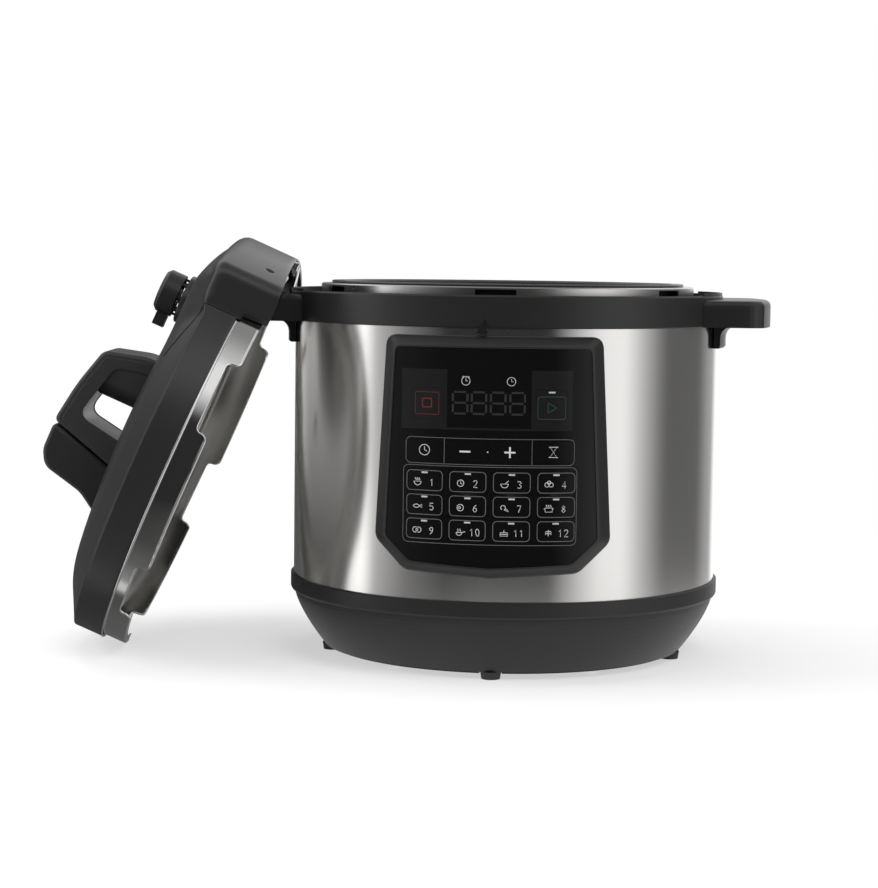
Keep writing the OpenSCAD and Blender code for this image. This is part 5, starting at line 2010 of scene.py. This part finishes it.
@dataclass
class PanelBezel:
    """Sloping frame round the control film, with rounded corners.

    Its two outlines are drawn across and upwards, and each point of its section is the
    share of the way between them and the radius about the cooker's axis.
    """

    outer: tuple[Corner, ...] = (
        (-70.0, 225.9, 8.0),
        (70.0, 225.9, 8.0),
        (76.8, 93.0, 10.0),
        (56.5, 73.3, 11.0),
        (0.0, 70.0, 0.0),
        (-56.5, 73.3, 11.0),
        (-76.8, 93.0, 10.0),
    )
    inner: tuple[Corner, ...] = (
        (-63.0, 218.4, 4.0),
        (63.0, 218.4, 4.0),
        (68.6, 95.5, 6.0),
        (52.5, 80.2, 8.0),
        (0.0, 77.4, 0.0),
        (-52.5, 80.2, 8.0),
        (-68.6, 95.5, 6.0),
    )
    frame_section: tuple[Point2, ...] = (
        (0.0, 153.2), (0.0, 154.75), (0.035, 154.95), (0.09, 155.0), (0.2, 154.8),
        (0.5, 153.0), (0.8, 150.8), (0.93, 149.6), (0.99, 148.7), (1.0, 148.2),
        (1.0, 147.4), (0.5, 147.4),
    )
    border_section: tuple[Point2, ...] = (
        (0.05, 154.36), (0.05, 153.2), (-1.15, 153.2), (-1.15, 154.36),
    )
    corner_steps: int = 8
    per_side: int = 14
    side_starts: tuple[int, ...] = (8, 17, 26, 35, 36, 45, 54)
    mark: tuple[Corner, ...] = ((-11.3, 227.2, 0.4), (-2.7, 227.2, 0.4), (-7.0, 234.4, 0.4))
    mark_y: float = -151.0
    mark_half: float = 0.7
    mark_edge: float = 0.2

    def line(self, corners: tuple[Corner, ...]) -> list[Point2]:
        """Outline with a fixed number of points on every side and corner.

        Args:
            corners: Corner points with their radii.

        Returns:
            The outline's points.
        """
        points = rounded_outline(list(corners), self.corner_steps)
        dense: list[Point2] = []
        for k, p in enumerate(points):
            count = self.per_side if k in self.side_starts else 1
            dense += stepped(p, points[(k + 1) % len(points)], count)
        return dense

    def wrapped(self, line: list[Point2], radius: float) -> list[Vector]:
        """Outline laid on a cylinder about the cooker's axis."""
        return [Vector((x, -math.sqrt(radius * radius - x * x), z)) * MM for x, z in line]

    def between(self, share: float) -> list[Point2]:
        """Outline between the inner one at 0 and the outer one at 1."""
        pairs = zip(self.line(self.inner), self.line(self.outer))
        return [(a[0] + (b[0] - a[0]) * share, a[1] + (b[1] - a[1]) * share) for a, b in pairs]

    def ring(self, name: str, section: tuple[Point2, ...], look: Look) -> bpy.types.Object:
        """Makes a closed ring that runs round the panel with one section.

        Args:
            name: Name of the piece.
            section: Its section's points.
            look: Its finish.

        Returns:
            The piece.
        """
        rows = [self.wrapped(self.between(share), radius) for share, radius in section]
        points = [p for row in rows for p in row]
        mesh = mesh_of(name, points, grid_faces(len(rows), len(rows[0]), True), 30.0)
        return new_piece(name, mesh, look, "cooker")

    def build_mark(self) -> None:
        """Small moulded arrow on the ring above the panel, where the lid is lined up."""
        name, outline = "lid_line_up_mark", rounded_outline(list(self.mark), 3)
        place = upright(self.mark_y)
        mesh = soft_plate(name, [outline], self.mark_half, self.mark_edge, place)
        new_piece(name, mesh, Look.SEAM, "cooker")

    def build(self) -> None:
        """Makes the frame and the film's own border under its inner edge."""
        self.build_mark()
        sloped = self.ring("panel_frame", self.frame_section, Look.BODY)
        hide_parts("panel_bezel")
        self.ring("film_border", self.border_section, Look.FILM)


# --------------------------------------------------------------------- studio


@dataclass(frozen=True)
class Lamp:
    """A soft rectangular lamp, sized in metres and watts, that faces the object."""

    name: str
    place: tuple[float, float, float]
    size: tuple[float, float]
    power: float
    target: tuple[float, float, float] = (0.0, 0.0, 0.15)

    def hang(self) -> None:
        """Adds the lamp to the scene, unseen in gloss."""
        data = bpy.data.lights.new(self.name, "AREA")
        data.shape = "RECTANGLE"
        data.size, data.size_y = self.size
        data.energy = self.power
        lamp = linked(self.name, data)
        lamp.visible_glossy = False
        aim = Vector(self.target) - Vector(self.place)
        turn = aim.to_track_quat("-Z", "Y").to_matrix().to_4x4()
        lamp.matrix_world = Matrix.Translation(self.place) @ turn


@dataclass
class Studio:
    """Pale floor, soft lamps and the camera.

    The stops give the brightness of the surroundings in gloss: the direction in degrees,
    0 behind the camera and growing to its right, and the level.
    """

    focal_px: float = 2235.938
    distance: float = 1579.993
    look_height: float = 130.0
    azimuth: float = 3.35
    elevation: float = 5.306
    pan: float = -1.694
    tilt: float = -4.796
    roll: float = 0.75
    picture: tuple[int, int] = (878, 888)
    sensor: float = 36.0
    nearest: float = 0.05
    floor_radius: float = 0.9
    floor_sides: int = 64
    floor_colour: Colour = (0.84, 0.84, 0.845)
    floor_lit: Point2 = (0.55, 1.0)
    floor_fade: Point2 = (0.3, 0.828)
    mirror_share: float = 0.95
    mirror_fade: Point2 = (0.22, 0.5)
    # Levels and edges across of the painted shadow of the lid in the floor's gloss.
    mirror_shadow_levels: Point2 = (0.12, 0.95)
    mirror_shadow_across: Point2 = (-0.26, -0.04)
    sky_colour: Colour = (1.05, 1.05, 1.06)
    sky_rise: Point2 = (0.34, 0.56)
    zenith_colour: Colour = (0.3, 0.3, 0.3)
    zenith_rise: Point2 = (0.72, 0.9)
    fill: float = 0.55
    stops: tuple[Point2, ...] = (
        (-180, 0.4), (-168, 0.12), (-150, 0.1), (-138, 0.12), (-118, 0.05), (-108, 0.02),
        (-98, 0.03), (-92, 0.5), (-87, 2.0), (-78, 2.0), (-70, 0.7), (-50, 0.25),
        (-28, 0.03), (28, 0.03), (42, 0.7), (55, 1.3), (69, 1.4), (82, 0.7), (92, 0.32),
        (99, 0.16), (130, 0.17), (143, 0.45), (152, 0.5), (160, 1.3), (180, 1.2),
    )
    lamps: tuple[Lamp, ...] = (
        Lamp("key_lamp", (0.9, -1.5, 1.9), (1.2, 1.0), 22.0),
        Lamp("left_lamp", (-2.0, -0.2, 1.0), (1.4, 1.6), 40.0),
        Lamp("top_lamp", (-0.2, 0.3, 2.2), (1.6, 1.6), 24.0),
    )

    def add_camera(self) -> None:
        """Places the camera and makes it the scene's."""
        az, el = math.radians(self.azimuth), math.radians(self.elevation)
        pan, tilt, roll = (math.radians(v) for v in (self.pan, self.tilt, self.roll))
        place = Vector((math.sin(az) * math.cos(el), -math.cos(az) * math.cos(el), math.sin(el)))
        place = place * self.distance + Vector((0, 0, self.look_height))
        across, along = math.sin(pan - az), math.cos(pan - az)
        ahead = Vector((across * math.cos(tilt), along * math.cos(tilt), math.sin(tilt)))
        right = Vector((along, -across, 0))
        up = right.cross(ahead)
        turned_right = right * math.cos(roll) + up * math.sin(roll)
        turned_up = up * math.cos(roll) - right * math.sin(roll)
        data = bpy.data.cameras.new("camera")
        data.sensor_fit = "HORIZONTAL"
        data.sensor_width = self.sensor
        data.lens = self.focal_px * self.sensor / self.picture[0]
        data.clip_start = self.nearest
        camera = linked("camera", data)
        turn = Matrix((turned_right, turned_up, -ahead)).transposed().to_4x4()
        camera.matrix_world = Matrix.Translation(place * MM) @ turn
        bpy.context.scene.camera = camera

    def floor_material(self) -> bpy.types.Material:
        """Matt floor that fades to white, and shows in gloss only near the object, darker to its
        left with a painted shadow of the lid.

        Returns:
            The material.
        """
        made = bpy.data.materials.new("floor")
        made.use_nodes = True
        bench = Bench(made.node_tree)
        matt = bench.add("ShaderNodeBsdfDiffuse", Color=(*self.floor_colour, 1.0)).outputs[0]
        lit = bench.add("ShaderNodeEmission", Color=(1, 1, 1, 1), Strength=1.0).outputs[0]
        path = bench.add("ShaderNodeLightPath")
        place = bench.add("ShaderNodeTexCoord").outputs["Object"]
        length = bench.add("ShaderNodeVectorMath", {"operation": "LENGTH"}, in0=place)
        reach = length.outputs["Value"]
        fade = bench.span(reach, *self.floor_lit, *self.floor_fade)
        share = bench.math("MULTIPLY", path.outputs["Is Camera Ray"], fade)
        mixed = bench.mix_shaders(share, matt, lit)
        near = bench.span(reach, self.mirror_share, 0.0, *self.mirror_fade)
        across = bench.add("ShaderNodeSeparateXYZ", in0=place).outputs[0]
        # Seen in gloss, the floor gives less light to its left: a painted shadow of the lid.
        shaded = bench.span(across, *self.mirror_shadow_levels, *self.mirror_shadow_across)
        pale = bench.add("ShaderNodeEmission", Color=(1, 1, 1, 1), Strength=shaded).outputs[0]
        away = bench.add("ShaderNodeBsdfTransparent").outputs[0]
        mirrored = bench.mix_shaders(near, away, pale)
        whole = bench.mix_shaders(path.outputs["Is Glossy Ray"], mixed, mirrored)
        bench.add("ShaderNodeOutputMaterial", Surface=whole)
        return made

    def add_floor(self) -> None:
        """Lays a round pale floor that keeps the object's shadow and fades to white."""
        r, sides = self.floor_radius, self.floor_sides
        angles = [k * math.tau / sides for k in range(sides)]
        mesh = bpy.data.meshes.new("floor")
        rim = [(r * math.cos(a), r * math.sin(a), 0) for a in angles]
        mesh.from_pydata(rim, [], [tuple(range(sides))])
        mesh.materials.append(self.floor_material())
        floor = linked("floor", mesh)

    def surroundings(self, bench: Bench) -> object:
        """Colour of the surroundings in gloss, by direction and by height.

        Args:
            bench: The world's nodes.

        Returns:
            The colour socket.
        """
        way = bench.add("ShaderNodeTexCoord").outputs["Generated"]
        split = bench.add("ShaderNodeSeparateXYZ", in0=way)
        back = bench.math("MULTIPLY", split.outputs[1], -1.0)
        angle = bench.math("ARCTAN2", split.outputs[0], back)
        turned = bench.span(angle, 0.0, 1.0, -math.pi, math.pi)
        ramp = bench.add("ShaderNodeValToRGB", in0=turned)
        elements = ramp.color_ramp.elements
        while len(elements) > 1:
            elements.remove(elements[-1])
        for k, (degrees, level) in enumerate(self.stops):
            at = (degrees + 180) / 360
            element = elements[0] if k == 0 else elements.new(at)
            element.position = at
            element.color = (level, level, level, 1.0)
        high = bench.span(split.outputs[2], 0.0, 1.0, *self.sky_rise)
        zenith = bench.span(split.outputs[2], 0.0, 1.0, *self.zenith_rise)
        sky = bench.blend(zenith, self.sky_colour, self.zenith_colour)
        return bench.blend(high, ramp.outputs[0], sky)

    def add_world(self) -> None:
        """White behind the object; darker flanks show only in its gloss."""
        world = bpy.data.worlds.new("studio")
        world.use_nodes = True
        bpy.context.scene.world = world
        bench = Bench(world.node_tree)
        around = self.surroundings(bench)
        path = bench.add("ShaderNodeLightPath")
        gloss, white, fill = (
            bench.add("ShaderNodeBackground", Color=colour, Strength=strength).outputs[0]
            for colour, strength in (
                (around, 1.0), ((1, 1, 1, 1), 1.0), ((1, 1, 1, 1), self.fill),
            )
        )
        straight_on = path.outputs["Is Camera Ray"], path.outputs["Is Transmission Ray"]
        first = bench.mix_shaders(bench.math("MAXIMUM", *straight_on), fill, white)
        second = bench.mix_shaders(path.outputs["Is Glossy Ray"], first, gloss)
        bench.add("ShaderNodeOutputWorld", Surface=second)

    def build(self) -> None:
        """Sets the whole studio up."""
        bpy.context.scene.view_settings.view_transform = "Standard"
        self.add_camera()
        self.add_floor()
        self.add_world()
        for lamp in self.lamps:
            lamp.hang()


def main() -> None:
    """Builds the pieces in order."""
    logging.basicConfig(level=logging.INFO, format="%(name)s: %(message)s")
    Studio().build()
    dress_frame()
    PanelBezel().build()
    ControlPanel().build()
    LidShell().build()
    PanLip().build()
    ArchHandle().build()


if __name__ == "__main__":
    main()
